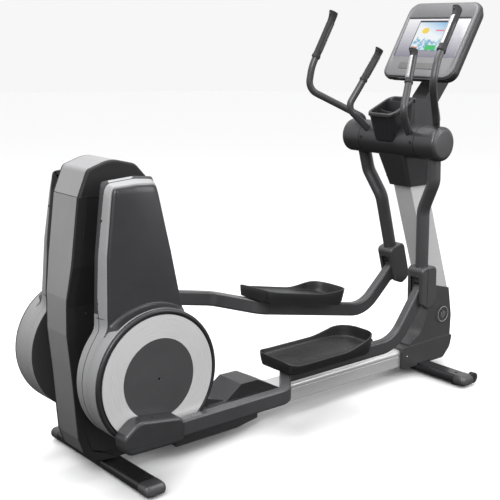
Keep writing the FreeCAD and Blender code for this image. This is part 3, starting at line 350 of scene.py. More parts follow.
def brushedFinish(name, look):
    # fine lines along the first axis of the turned coordinates, in height and in roughness
    net = Net(name)
    place = net.add("TexCoord").outputs["Object"]
    turned = net.add("Mapping", {"Vector": place, "Rotation": look["turn"], "Scale": look["stretch"]})
    lines = net.noise(turned.outputs[0], look["lines"], 4.0, 0.7)
    soft, edge = edgeNormal(net, look["edgeRadius"])
    cloud = net.noise(place, 3.5, 4.0)
    tone = net.mixed(net.ranged(cloud, 0.3, 0.7, 0.0, 1.0), look["dark"], look["light"])
    tone = net.mixed(net.calc("MULTIPLY", net.ranged(lines, 0.4, 0.7, 0.0, 1.0), 0.35), tone, look["lineTone"])
    # painted highlight: the edges are mixed towards a lighter tone
    tone = net.mixed(net.calc("MULTIPLY", edge, 0.5), tone, look["edgeHighlightTone"])
    rough = net.ranged(lines, 0.3, 0.7, look["rough"] - 0.06, look["rough"] + 0.07)
    bump = net.add("Bump", {"Strength": look["depth"], "Distance": 0.0003, "Height": lines, "Normal": soft})
    net.give(Base_Color=tone, Roughness=rough, Metallic=look["metal"], Normal=bump.outputs[0])
    return net.material


brushed = {
    "turn": (0, 0, 0), "stretch": (0.02, 1.0, 1.0), "lines": 420.0, "edgeRadius": 0.002, "depth": 0.12,
    "dark": (0.60, 0.60, 0.605), "light": (0.68, 0.68, 0.68), "lineTone": (0.78, 0.78, 0.78),
    # the edge tone is a painted highlight on the edges
    "edgeHighlightTone": (0.9, 0.9, 0.9), "rough": 0.32, "metal": 0.4,
}
brushedFinishes = {
    "beamAluminium": {**brushed},
    "mastAluminium": {**brushed, "turn": (0, math.radians(70.9), 0)},
    "groundSteel": {**brushed, "stretch": (1.0, 0.02, 1.0), "rough": 0.22, "metal": 1.0},
    "plateSteel": {**brushed, "dark": (0.30, 0.30, 0.31), "light": (0.40, 0.40, 0.40), "rough": 0.30,
                   "lineTone": (0.5, 0.5, 0.5), "edgeHighlightTone": (0.6, 0.6, 0.6),
                   "turn": (0, math.radians(-50), 0)},
}


def ringFinish(name, look):
    # turned lines round the crank axis: noise of the distance from it, and a little of the angle
    net = Net(name)
    place = net.add("TexCoord").outputs["Object"]
    centred = net.add("VectorMath", {0: place, 1: look["centre"]}, operation="SUBTRACT").outputs[0]
    parts = net.add("SeparateXYZ", {0: centred})
    flat = net.add("CombineXYZ", {0: parts.outputs[0], 1: parts.outputs[2]}).outputs[0]
    reach = net.add("VectorMath", {0: flat}, operation="LENGTH").outputs["Value"]
    angle = net.calc("ARCTAN2", parts.outputs[0], parts.outputs[2])
    along = net.add("CombineXYZ", {0: reach, 1: net.calc("MULTIPLY", angle, 0.002)}).outputs[0]
    lines = net.noise(along, look["lines"], 4.0, 0.7)
    cloud = net.noise(place, 4.0, 4.0)
    tone = net.mixed(net.ranged(cloud, 0.3, 0.7, 0.0, 1.0), look["dark"], look["light"])
    tone = net.mixed(net.ranged(lines, 0.4, 0.75, 0.0, 0.4), tone, look["lineTone"])
    rough = net.ranged(lines, 0.3, 0.7, look["rough"] - 0.05, look["rough"] + 0.08)
    bump = net.add("Bump", {"Strength": look["depth"], "Distance": 0.0003, "Height": lines})
    net.give(Base_Color=tone, Roughness=rough, Metallic=look["metal"], Normal=bump.outputs[0])
    return net.material


ringLook = {
    "centre": tuple(crankCentre), "lines": 900.0, "dark": (0.70, 0.70, 0.70), "light": (0.78, 0.78, 0.78),
    "lineTone": (0.86, 0.86, 0.86), "rough": 0.30, "depth": 0.12, "metal": 0.45,
}


def glassFinish(name, look):
    # violet grey tint, made paler up the panel by a painted reflection, under a glossy coat
    net = Net(name)
    place = net.add("TexCoord").outputs["Object"]
    height = net.add("SeparateXYZ", {0: place}).outputs[2]
    rise = net.ranged(height, look["low"], look["high"], 0.0, 1.0)
    # painted reflection: the tone grows paler up the panel
    tone = net.mixed(rise, look["lowTone"], look["reflectionTone"])
    cloud = net.noise(place, 40.0, 4.0)
    rough = net.ranged(cloud, 0.3, 0.7, 0.10, 0.17)
    net.give(Base_Color=tone, Roughness=rough, Metallic=0.3, Coat_Weight=0.8, Coat_Roughness=0.05)
    return net.material


glassLow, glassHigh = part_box("display_glass")
glassMiddle = (glassLow + glassHigh) / 2
glassLook = {
    "low": glassLow.z, "high": glassHigh.z, "lowTone": (0.11, 0.105, 0.14), "reflectionTone": (0.50, 0.50, 0.52),
}

screenLow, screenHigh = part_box("touchscreen")
screenLook = {
    "half": 0.104, "middle": (screenLow.z + screenHigh.z) / 2 + 0.003, "tall": 0.0645, "glow": 0.85,
    "patches": (
        # from, to across, from, to up, colour
        (0.10, 0.80, 0.36, 0.46, (0.85, 0.20, 0.25)),
        (-0.12, 0.46, -0.92, -0.60, (0.02, 0.55, 0.12)),
        (-0.92, -0.56, -0.86, -0.72, (0.75, 0.25, 0.10)),
        (0.56, 0.90, -0.86, -0.72, (0.10, 0.30, 0.60)),
    ),
}


def screenFinish(name, look):
    # a made-up landscape: sky paler down to the left, ragged snowy hills, a sun, and plain buttons
    net = Net(name)
    spot = net.add("TexCoord").outputs["Object"]
    place = net.add("SeparateXYZ", {0: spot})
    across = net.calc("DIVIDE", net.calc("MULTIPLY", place.outputs[1], -1.0), look["half"])
    up = net.calc("DIVIDE", net.calc("SUBTRACT", place.outputs[2], look["middle"]), look["tall"])
    flat = net.add("CombineXYZ", {0: across, 1: up}).outputs[0]

    def inside(low, high, value):
        return net.calc("MULTIPLY", net.calc("GREATER_THAN", value, low), net.calc("LESS_THAN", value, high))

    slope = net.calc("ADD", up, net.calc("MULTIPLY", across, 0.6))
    tone = net.mixed(net.ranged(slope, 0.15, 1.5, 0.0, 1.0), (0.93, 0.97, 1.0), (0.03, 0.42, 0.80))
    ridge = net.add("CombineXYZ", {0: across}).outputs[0]
    crest = net.ranged(net.noise(ridge, 1.6, 6.0, 0.6), 0.3, 0.7, -0.75, 0.35)
    hill = net.calc("LESS_THAN", up, crest)
    snow = net.mixed(net.ranged(net.noise(flat, 4.0, 6.0, 0.7), 0.42, 0.58, 0.0, 1.0),
                     (0.10, 0.42, 0.62), (0.90, 0.96, 1.0))
    tone = net.mixed(hill, tone, snow)
    sun = net.add("VectorMath", {0: flat, 1: (-0.46, 0.38, 0.0)}, operation="DISTANCE").outputs["Value"]
    tone = net.mixed(net.calc("LESS_THAN", sun, 0.20), tone, (0.95, 0.70, 0.05))
    for left, right, low, high, colour in look["patches"]:
        patch = net.calc("MULTIPLY", inside(left, right, across), inside(low, high, up))
        tone = net.mixed(patch, tone, colour)
    rim = net.calc("MAXIMUM", net.calc("ABSOLUTE", across), net.calc("ABSOLUTE", up))
    rim = net.calc("GREATER_THAN", rim, 0.955)
    tone = net.mixed(rim, tone, (0.004, 0.004, 0.006))
    smear = net.ranged(net.noise(spot, 60.0, 4.0), 0.3, 0.7, 0.10, 0.20)
    net.give(Base_Color=(0.01, 0.01, 0.012, 1), Emission_Color=tone, Emission_Strength=look["glow"],
             Roughness=smear)
    return net.material


materials = {name: mouldedFinish(name, look) for name, look in finishes.items()}
materials.update({name: brushedFinish(name, look) for name, look in brushedFinishes.items()})
materials["brushedRing"] = ringFinish("brushedRing", ringLook)
materials["innerTwoTone"] = mouldedFinish("innerTwoTone", finishes["silverGreyPlastic"], innerTone)
materials["panelGlass"] = glassFinish("panelGlass", glassLook)
# tower: two-tone grey and black paint, with a painted shade towards the floor
materials["towerTwoToneAndShade"] = mouldedFinish("towerTwoToneAndShade", finishes["silverGreyPlastic"], towerTone)
materials["screenPicture"] = screenFinish("screenPicture", screenLook)

wornBy = {
    "beamAluminium": ["main_beam"],
    "mastAluminium": ["mast"],
    "groundSteel": ["pivot_shaft", "crankshaft", "crank_bearings"],
    "brushedRing": ["disc_rings"],
    "panelGlass": ["display_glass"],
    "towerTwoToneAndShade": ["tower_back_cover", "tower_cap"],
    "charcoalPlastic": ["rear_base_fairing", "neck_shroud", "upper_neck_cover", "arm_boot_right",
                        "arm_boot_left"],
    "capGrey": ["rocker_cover_right", "rocker_cover_left", "front_base_shroud"],
    "housingGrey": ["pivot_housing", "end_housing_right", "end_housing_left"],
    "blackPlastic": ["tower_side_panels", "tower_front_cover"],
    "consoleGrey": ["stop_key", "pause_key", "start_key"],
    "consoleSide": ["console_bracket"],
    "charcoalPaint": ["swing_arm_right", "swing_arm_left", "pedal_arm_right", "pedal_arm_left",
                      "moving_handle_right", "moving_handle_left", "fixed_handles"],
    "blackPaint": ["rear_stabilizer", "front_stabilizer"],
    "discCharcoal": ["crank_discs"],
    "frameSteel": ["rear_frame", "drive_pulley", "generator_pulley"],
    "castGrey": ["generator"],
    "rubber": ["drive_belt", "transport_wheel_right", "transport_wheel_left",
               "levelling_foot_rear_right", "levelling_foot_rear_left",
               "levelling_foot_front_right", "levelling_foot_front_left"],
}
for finish, names in wornBy.items():
    for name in names:
        mesh = nodes[name].data
        mesh.materials.clear()
        mesh.materials.append(materials[finish])
print("finishes ready,", len(materials), "materials")


# shapes
def gridFaces(rows, columns, closeRows=False, closeColumns=True):
    # quads of a grid of points, row by row, joined round where it closes
    row = np.arange(rows if closeRows else rows - 1)
    column = np.arange(columns if closeColumns else columns - 1)
    r, c = np.meshgrid(row, column, indexing="ij")
    nextRow, nextColumn = (r + 1) % rows, (c + 1) % columns
    quads = np.stack([r * columns + c, r * columns + nextColumn,
                      nextRow * columns + nextColumn, nextRow * columns + c], -1)
    return quads.reshape(-1, 4)


def capFan(first, columns, centre):
    # triangles from one row of the grid to a centre point
    c = np.arange(columns)
    return np.stack([first + c, first + (c + 1) % columns, np.full(columns, centre)], -1)


def makePiece(name, points, faces, finish, body, slot=None, stands=(), sharp=38.0):
    mesh = bpy.data.meshes.new(name)
    rows = []
    for part in faces:
        rows += part.tolist()
    mesh.from_pydata(np.asarray(points, float).reshape(-1, 3).tolist(), [], rows)
    work = bmesh.new()
    work.from_mesh(mesh)
    bmesh.ops.remove_doubles(work, verts=work.verts, dist=1e-6)
    bmesh.ops.recalc_face_normals(work, faces=work.faces)
    work.to_mesh(mesh)
    work.free()
    mesh.shade_smooth()
    mesh.set_sharp_from_angle(angle=math.radians(sharp))
    mesh.materials.append(materials[finish])
    piece = bpy.data.objects.new(name, mesh)
    bpy.context.scene.collection.objects.link(piece)
    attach(piece, body)
    if stands:
        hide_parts(*stands)
    return piece


def gather(shapes):
    # several (points, faces) shapes as one list of points and one list of faces
    points, faces, count = [], [], 0
    for shapePoints, shapeFaces in shapes:
        shapePoints = np.asarray(shapePoints, float).reshape(-1, 3)
        points.append(shapePoints)
        faces += [part + count for part in shapeFaces]
        count += len(shapePoints)
    return np.concatenate(points), faces


def ringBody(rows):
    # rows of points, each a closed loop, the last joined back to the first
    rows = np.asarray(rows)
    return rows.reshape(-1, 3), [gridFaces(rows.shape[0], rows.shape[1], True, True)]


def closedLoft(rows):
    # rows of points, each a closed loop, with both ends closed to their middles
    rows = np.asarray(rows)
    count, columns = rows.shape[:2]
    points = np.concatenate([rows.reshape(-1, 3), rows[:1].mean(1), rows[-1:].mean(1)])
    ends = [capFan(0, columns, count * columns), capFan((count - 1) * columns, columns, count * columns + 1)]
    return points, [gridFaces(count, columns, False, True)] + ends


def tubeShape(path, radius, sides=14, up=(0, 0, 1), closed=False, flat=1.0):
    # a section carried along a path: across it by radius, and along up by radius times flat
    path = np.asarray(path, float)
    if closed:
        ahead = np.roll(path, -1, 0) - np.roll(path, 1, 0)
    else:
        ahead = np.gradient(path, axis=0)
    ahead /= np.linalg.norm(ahead, axis=1)[:, None]
    across = np.cross(ahead, np.asarray(up, float))
    across /= np.linalg.norm(across, axis=1)[:, None]
    lift = np.cross(across, ahead)
    turn = np.linspace(0, 2 * np.pi, sides, endpoint=False)
    radius = np.broadcast_to(np.asarray(radius, float), (len(path),))[:, None, None]
    rows = path[:, None] + radius * (across[:, None] * np.cos(turn)[None, :, None]
                                     + lift[:, None] * flat * np.sin(turn)[None, :, None])
    return ringBody(rows) if closed else closedLoft(rows)


def turnedShape(centre, axis, profile, count=48):
    # a profile of (distance along the axis, radius) turned round it, closed at both ends
    axis = np.asarray(axis, float) / np.linalg.norm(axis)
    other = np.array((0, 0, 1.0)) if abs(axis[2]) < 0.9 else np.array((1.0, 0, 0))
    first = np.cross(axis, other)
    first /= np.linalg.norm(first)
    second = np.cross(axis, first)
    profile = np.asarray(profile, float)
    turn = np.linspace(0, 2 * np.pi, count, endpoint=False)
    spin = first * np.cos(turn)[:, None] + second * np.sin(turn)[:, None]
    rows = np.asarray(centre, float) + profile[:, :1, None] * axis + profile[:, 1:, None] * spin
    return closedLoft(rows)


def smoothStep(value, low, high):
    share = np.clip((value - low) / (high - low), 0, 1)
    return share * share * (3 - 2 * share)


def evenLoop(points, count):
    # a closed line of points resampled to even steps
    closed = np.concatenate([points, points[:1]])
    steps = np.concatenate([[0], np.cumsum(np.linalg.norm(np.diff(closed, axis=0), axis=1))])
    wanted = np.linspace(0, steps[-1], count, endpoint=False)
    return np.stack([np.interp(wanted, steps, closed[:, k]) for k in range(closed.shape[1])], 1)


def loopNormals(points):
    # outward directions of a closed line that runs clockwise in its two coordinates
    along = np.roll(points, -1, 0) - np.roll(points, 1, 0)
    along /= np.linalg.norm(along, axis=1)[:, None]
    return np.stack([-along[:, 1], along[:, 0]], 1)


def roundedLoop(half, tall, corner, rise=0.0, count=38):
    # a rectangle with round corners, each corner given the same number of points
    loop = []
    for k, (su, sv) in enumerate(((1, 1), (-1, 1), (-1, -1), (1, -1))):
        turn = np.linspace(0, np.pi / 2, count) + k * np.pi / 2
        loop.append(np.stack([su * (half - corner) + corner * np.cos(turn),
                              sv * (tall - corner) + corner * np.sin(turn) + rise], 1))
    return np.concatenate(loop)


def pointsOf(name, keep=None):
    # a node's points, in the machine's frame
    mesh = nodes[name].data
    flat = np.empty(len(mesh.vertices) * 3)
    mesh.vertices.foreach_get("co", flat)
    points = flat.reshape(-1, 3) @ np.array(nodes[name].matrix_world.to_3x3()).T
    points = points + np.array(nodes[name].matrix_world.translation)
    return points if keep is None else points[keep(points)]


def pitched(points, pivot, angle, place, side):
    # turned in side view about a pivot, carried to a place, and mirrored when side is -1
    x, z = points[:, 0] - pivot[0], points[:, 2] - pivot[1]
    return np.stack([x * math.cos(angle) - z * math.sin(angle) + place[0], side * points[:, 1],
                     x * math.sin(angle) + z * math.cos(angle) + place[1]], 1)


# drums and fins
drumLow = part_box("drum_outer_cover_right")[0]
drum = {
    # places from the crank axis, x then height
    "radius": crankCentre.z - drumLow.z,
    "outerSide": -drumLow.y,
    "innerSide": 0.162,
    "partingSide": (0.177, 0.200),     # on the fin, on the drum
    "innerSides": [[(-0.171, 0.0), (-0.170, 0.236), (-0.1608, 0.432), (-0.1300, 0.682)],
                   [(-0.1300, 0.682), (0.0, 0.690), (0.078, 0.682)],
                   [(0.078, 0.682), (0.124, 0.427), (0.160, 0.200), (0.166, 0.0)]],
    "outerSides": [[(-0.158, 0.0), (-0.157, 0.236), (-0.1442, 0.432), (-0.1080, 0.662)],
                   [(-0.1080, 0.662), (-0.02, 0.666), (0.064, 0.660)],
                   [(0.064, 0.660), (0.1107, 0.427), (0.1483, 0.203), (0.152, 0.0)]],
    "cornerPower": 60.0,              # larger is sharper
    "joinPower": 30.0,
    "faceLow": 0.2440,                # fin's outer side at 0.2 above the axis
    "faceTop": 0.2150,                # and at its top
    "crown": 0.006,
    "faceDepth": 0.010,
    "rim": 0.010,
    "topRim": 0.026,
    "seam": 0.0009,
    "discHole": 0.2325,
    "shaftHole": 0.030,
    "rimBegins": 0.2865,
    "lip": 0.0014,                    # small steps at the joint between the covers
    "tuck": 0.012,                    # how far the covers turn in at the joint
    "innerRound": 0.0035,
    "collar": (0.013, 0.036),         # out along the fin's face, out along the drum
    "points": 520,
}
# the joint over the fin's face: x, then height, from the crank axis
jointLine = ((-0.1560, 0.2235), (-0.120, 0.2390), (-0.080, 0.2495), (-0.024, 0.2595), (0.020, 0.2630),
             (0.052, 0.2640), (0.090, 0.2620), (0.1440, 0.2540))
screwPlaces = ((0.180, 0.690), (0.179, 0.972))     # from the middle of the machine, height


def softReach(angle, groups, look):
    # along each ray from the crank axis, a soft smallest of the distances to the fin's sides, then
    # a soft largest of that and the drum's radius
    ray = np.stack([np.sin(angle), np.cos(angle)], 1)
    total = np.zeros(len(angle))
    for group in groups:
        best = np.zeros(len(angle))
        for start, stop in zip(np.array(group[:-1]), np.array(group[1:])):
            along = (stop - start) / np.linalg.norm(stop - start)
            normal = np.array((-along[1], along[0]))
            best = np.maximum(best, np.clip(ray @ normal / (normal @ start), 0, None))
        total += best ** look["cornerPower"]
    total += np.clip(-ray[:, 1] / 0.05, 0, None) ** look["cornerPower"]
    fin = total ** (-1 / look["cornerPower"])
    power, radius = look["joinPower"], look["radius"] - 0.0005
    return (fin ** power + radius ** power) ** (1 / power)


def finOutlines(look):
    # the inner side's outline in even steps, and the outer one along the same rays
    fine = np.linspace(0, 2 * np.pi, 6000, endpoint=False)
    reach = softReach(fine, look["innerSides"], look)
    inner = evenLoop(np.stack([np.sin(fine), np.cos(fine)], 1) * reach[:, None], look["points"])
    angle = np.arctan2(inner[:, 0], inner[:, 1])
    ray = np.stack([np.sin(angle), np.cos(angle)], 1)
    outer = ray * softReach(angle, look["outerSides"], look)[:, None]
    return inner, outer, ray


def faceSide(x, z, look=drum):
    # fin's outer side: leans in with height and is a little crowned between rear and front
    rise = (z - 0.2) / (look["outerSides"][1][1][1] - 0.2)
    lean = look["faceLow"] + (look["faceTop"] - look["faceLow"]) * np.clip(rise, -0.6, 1.1)
    middle, half = -0.004 - 0.018 * rise, 0.152 - 0.066 * rise
    return lean + look["crown"] * (0.6 - np.clip((x - middle) / half, -1.2, 1.2) ** 2)


def onDrum(rows, side):
    # from the crank axis to the machine, on its right or its left
    return np.asarray(rows) * (1, side, 1) + (crankCentre.x, 0, crankCentre.z)


def placedRow(flat, side):
    # a flat outline (x, height) set at one or many distances from the middle of the machine
    return np.stack([flat[:, 0], np.broadcast_to(side, len(flat)), flat[:, 1]], 1)


def inset(flat, amount):
    return flat - loopNormals(flat) * amount


def betweenSides(level, inner, outer, edge, look):
    # outline at a distance from the middle of the machine, between the inner and outer ones
    share = (level - look["innerSide"]) / (edge - look["innerSide"])
    return inner + (outer - inner) * np.clip(share, 0, 1)[:, None]


def drumCovers(side, hand, look):
    inner, outer, ray = finOutlines(look)
    edge = faceSide(*outer.T)
    onFin, onRound = look["partingSide"]
    parting = onFin + (onRound - onFin) * (1 - smoothStep(inner[:, 1], 0.10, 0.32))
    innerCover(side, hand, look, inner, outer, ray, edge, parting)
    silverBand(side, hand, look, inner, outer, edge, parting)
    outerFace(side, hand, look, outer, ray, edge)


def innerCover(side, hand, look, inner, outer, ray, edge, parting):
    # dish on the tower's side, open in the middle for the shaft, with a small round at its edge
    start, lip = look["innerSide"], look["lip"]
    line = betweenSides(parting, inner, outer, edge, look)
    low = betweenSides(parting - lip, inner, outer, edge, look)
    rows = [placedRow(ray * look["shaftHole"], parting), placedRow(inset(line, 0.010), parting),
            placedRow(inset(line, lip), parting), placedRow(low, parting - lip)]
    for turn in np.linspace(0, np.pi / 2, 6):
        flat = inset(inner, look["innerRound"] * (1 - np.cos(turn)))
        rows.append(placedRow(flat, start + look["innerRound"] * (1 - np.sin(turn))))
    rows.append(placedRow(inset(inner, 0.03), start))
    rows.append(placedRow(ray * look["shaftHole"], start))
    makePiece("drum_inner_face_" + hand, *ringBody(onDrum(rows, side)), "innerTwoTone", "frame",
              "charcoal_plastic", ["drum_inner_covers"])


def silverBand(side, hand, look, inner, outer, edge, parting):
    # silver band between the joint and the dark face, with its edges turned in
    lip, tuck = look["lip"], look["tuck"]
    near, far = parting + look["seam"], edge - look["faceDepth"] - look["seam"]

    def row(level, amount=0.0):
        line = betweenSides(level, inner, outer, edge, look)
        return placedRow(inset(line, amount) if amount else line, level)

    rows = [row(near, tuck), row(near, lip), row(near + lip)]
    rows += [row(near + (far - near) * share) for share in (0.2, 0.4, 0.6, 0.8)]
    rows += [row(far - lip), row(far, lip), row(far, tuck)]
    makePiece("drum_band_" + hand, *ringBody(onDrum(rows, side)), "silverGreyPlastic", "frame",
              "silver_grey_plastic")


def outerFace(side, hand, look, outer, ray, edge):
    # dark face with a rounded rim, wider along the fin's top, running down to the drum's opening
    back = edge - look["faceDepth"]
    normals = loopNormals(outer)
    rim = look["rim"] + (look["topRim"] - look["rim"]) * smoothStep(normals[:, 1], 0.75, 0.98)
    hole = ray * (look["discHole"] + 0.0055)
    rows = [placedRow(hole, faceSide(*hole.T) - look["faceDepth"]), placedRow(inset(outer, 0.010), back),
            placedRow(outer, back)]
    for turn in np.linspace(0, np.pi / 2, 9):
        flat = outer - normals * (rim * (1 - np.cos(turn)))[:, None]
        rows.append(placedRow(flat, back + (faceSide(*flat.T) - back) * np.sin(turn)))
    firm = outer - normals * rim[:, None]
    for share in np.linspace(0, 1, 13)[1:]:
        flat = firm * (1 - share) + hole * share
        rows.append(placedRow(flat, faceSide(*flat.T)))
    makePiece("drum_face_" + hand, *ringBody(onDrum(rows, side)), "finCharcoal", "frame",
              "charcoal_plastic", ["drum_outer_cover_" + hand])


def drumRims(side, hand, look):
    # turned drum end: a silver sleeve, and a dark rounded rim round the disc
    reach, hole, rimSide, face = look["radius"], look["discHole"], look["rimBegins"], look["outerSide"]
    bend = np.linspace(0, np.pi / 2, 8)
    turn = np.linspace(0, 2 * np.pi, 160, endpoint=False)
    lip = 0.0009
    sleeve = [(0.228, hole), (0.228, reach - lip), (0.230, reach), (0.258, reach), (rimSide - 2 * lip, reach),
              (rimSide - lip, reach - lip), (rimSide - lip, hole)]
    rim = [(rimSide, hole + 0.0005), (rimSide, reach - lip), (rimSide + lip, reach)]
    rim += [(face - 0.010 * (1 - np.sin(a)), reach - 0.0085 * (1 - np.cos(a))) for a in bend[1:]]
    rim += [(face - 0.0025 * (1 - np.cos(a)), hole + 0.0025 * (1 - np.sin(a))) for a in bend]
    for name, profile, finish, slot in (("drum_sleeve_", sleeve, "silverGreyPlastic", "silver_grey_plastic"),
                                        ("drum_rim_", rim, "finCharcoal", "charcoal_plastic")):
        profile = np.array(profile)
        rows = np.stack([np.outer(profile[:, 1], np.sin(turn)), np.repeat(profile[:, :1], len(turn), 1),
                         np.outer(profile[:, 1], np.cos(turn))], -1)
        makePiece(name + hand, *ringBody(onDrum(rows, side)), finish, "frame", slot)


def drumCollar(side, hand, look):
    # hollow-curved dark collar from the fin's face out over the drum, running out at both ends
    angle = np.radians(np.linspace(-46, 44, 90))
    reach = softReach(angle, look["outerSides"], look)
    wide, tall = look["collar"]
    share = np.clip((reach - look["radius"] - 0.002) / (1.15 * wide), 0.02, 1.0)
    share = share * (3 - share) / 2
    bend = np.linspace(0, np.pi / 2, 9)
    base = look["radius"] + 0.0004
    rows = []
    for a, part in zip(angle, share):
        ray = np.array((np.sin(a), np.cos(a)))
        out = base + wide * part * (1 - np.sin(bend))
        flat = ray[None] * out[:, None]
        level = faceSide(*flat.T) + (tall * part) * (1 - np.cos(bend))
        low = ray[None] * np.array((base - 0.004, base + wide * part))[:, None]
        ends = placedRow(low, faceSide(*low.T) - 0.004)
        top = placedRow(ray[None] * (base - 0.004), level[-1:])
        rows.append(np.concatenate([placedRow(flat, level), top, ends]))
    makePiece("drum_collar_" + hand, *closedLoft(onDrum(rows, side)), "finCharcoal", "frame",
              "charcoal_plastic")


def coverJoint(side, hand, look):
    # thin dark joint over the fin's face and down its rear and front bands
    line = np.array(jointLine)
    steps = np.linspace(0, len(line) - 1, 60)
    flat = np.stack([np.interp(steps, np.arange(len(line)), line[:, k]) for k in (0, 1)], 1)
    for _ in range(3):
        flat[1:-1] = (flat[:-2] + 2 * flat[1:-1] + flat[2:]) / 4
    inner, outer = finOutlines(look)[:2]

    def bandLine(level, rear):
        # across the rear or front band at one height, from the face to the joint between the covers
        picks = [edge[np.argmin(np.abs(edge[:, 1] - level) + 9 * ((edge[:, 0] > 0) == rear))]
                 for edge in (outer, inner)]
        share = np.linspace(0, 1, 14)[:, None]
        across = picks[0] * (1 - share) + picks[1] * share
        across[:, 1] = level
        top = float(faceSide(*picks[0])) - look["faceDepth"]
        return placedRow(across, top + (look["partingSide"][0] - top) * share[:, 0])

    over = placedRow(flat, faceSide(*flat.T) - 0.0002)
    path = np.concatenate([bandLine(flat[0, 1], True)[::-1], over, bandLine(flat[-1, 1], False)])
    points, faces = tubeShape(onDrum(path, side), 0.0010, 8, (1, 0.02, 0.3))
    makePiece("cover_joint_" + hand, points, faces, "rubber", "frame", "black_rubber")


def coverScrews(side, hand, look):
    # small cap screws on the rear band
    inner = finOutlines(look)[0]
    rear = inner[inner[:, 0] < -0.05]
    profile = ((-0.002, 0.001), (-0.002, 0.0046), (0.0018, 0.0046), (0.0026, 0.0038), (0.0028, 0.0022),
               (0.0012, 0.0019), (0.0012, 0.0005))
    shapes = []
    for away, level in screwPlaces:
        x = rear[np.argmin(np.abs(rear[:, 1] + crankCentre.z - level)), 0] + 0.006
        centre = (crankCentre.x + x, side * away, level)
        shapes.append(turnedShape(centre, (-1, 0, 0), profile, 20))
    makePiece("cover_screws_" + hand, *gather(shapes), "rubber", "frame", "black_rubber")


for side, hand in ((-1, "right"), (1, "left")):
    drumCovers(side, hand, drum)
    drumRims(side, hand, drum)
    drumCollar(side, hand, drum)
    coverJoint(side, hand, drum)
    coverScrews(side, hand, drum)
print("drums and fins ready")


# console
glassAlong = np.array((glassHigh.x - glassLow.x, 0, glassHigh.z - glassLow.z))
glassAlong /= np.linalg.norm(glassAlong)
glassOut = np.array((-glassAlong[2], 0, glassAlong[0]))
bezelPoints = pointsOf("console_bezel")
console = {
    "half": 0.206,
    "tall": 0.196,
    "corner": 0.052,
    "front": float((bezelPoints @ glassOut).max()) + 0.001,
    "middle": float((bezelPoints @ glassAlong).max() + (bezelPoints @ glassAlong).min()) / 2 - 0.003,
    "opening": (0.1785, 0.1010, 0.006),
    "openingRise": float((pointsOf("display_glass") @ glassAlong).mean()),
    "lip": 0.005,
    "depth": 0.058,
    "inset": 0.007,                   # the face sits this far inside the back shell
    "keyStrip": (0.118, 0.0165, 0.008),
    "keyStripUp": 0.062,              # from the lower edge
    "jackPlate": (0.105, 0.0125, 0.006),
    "jacks": ((-0.052, 0.0046), (-0.026, 0.0052)),      # to the side, radius
}


def onConsole(loops, look=console):
    # (flat loop, distance out of the face) pairs to the machine
    rows = []
    for flat, out in loops:
        rows.append(np.outer(flat[:, 1] + look["middle"], glassAlong) + np.outer(flat[:, 0], (0, 1.0, 0))
                    + glassOut * (look["front"] + out))
    return np.array(rows)


def consolePieces(look):
    half, tall, corner, lip = look["half"], look["tall"], look["corner"], look["lip"]
    openHalf, openTall, openCorner = look["opening"]
    rise = look["openingRise"] - look["middle"]
    bend = np.linspace(0, np.pi / 2, 6)
    edge = look["inset"]

    def ring(shrink, out):
        return (roundedLoop(half - shrink, tall - shrink, corner - shrink * 0.6), out)

    def hole(grow, out):
        return (roundedLoop(openHalf + grow, openTall + grow, openCorner + grow, rise), out)

    def plate(name, size, middle, profile, *wears):
        # a thin plate on the face; each step of its profile is a growth and a distance out
        wide, high, bend = size
        rows = [(roundedLoop(wide + grow, high + grow, bend + grow * 0.5, middle), out)
                for grow, out in profile]
        makePiece(name, *closedLoft(onConsole(rows)), *wears)

    loops = [hole(0.0, -0.007), ring(edge + 0.004, -0.007), ring(edge, -0.007)]
    loops += [ring(edge + lip * (1 - np.cos(turn)), -lip + lip * np.sin(turn)) for turn in bend]
    loops += [ring(edge + lip + 0.006, 0.0), hole(0.004, -0.0006), hole(0.0025, -0.0012), hole(0.0, -0.0030)]
    makePiece("console_face", *ringBody(onConsole(loops)), "consoleGrey", "frame", "console_grey",
              ["console_bezel"])
    depth = look["depth"]
    steps = ((edge + 0.010, 0.006), (edge - 0.001, 0.006), (0.0035, 0.0065), (0.001, 0.0090), (0.0, 0.013),
             (0.0, 0.026), (0.0015, 0.0275), (0.0045, 0.0280), (0.0052, 0.0300), (0.008, depth - 0.012),
             (0.012, depth - 0.004), (0.020, depth), (0.06, depth + 0.002))
    loops = [ring(shrink, -back) for shrink, back in steps]
    makePiece("console_back", *closedLoft(onConsole(loops)), "consoleSide", "frame", "charcoal_plastic",
              ["console_rear_housing"])
    up = (screenLook["middle"] - glassMiddle.z) / glassAlong[2] + rise
    plate("screen_panel", (screenLook["half"], screenLook["tall"] / glassAlong[2], 0.003), up,
          ((-0.001, -0.006), (0.0, -0.005), (0.0, -0.0016), (-0.0008, -0.0012), (-0.004, -0.0012)),
          "screenPicture", "frame", "screen", ["touchscreen"])
    plate("key_strip", look["keyStrip"], look["keyStripUp"] - tall,
          ((-0.001, -0.002), (0.0, -0.001), (0.0, 0.0006), (-0.0008, 0.0010), (-0.004, 0.0010)),
          "keyStripGrey", "frame", "console_grey")


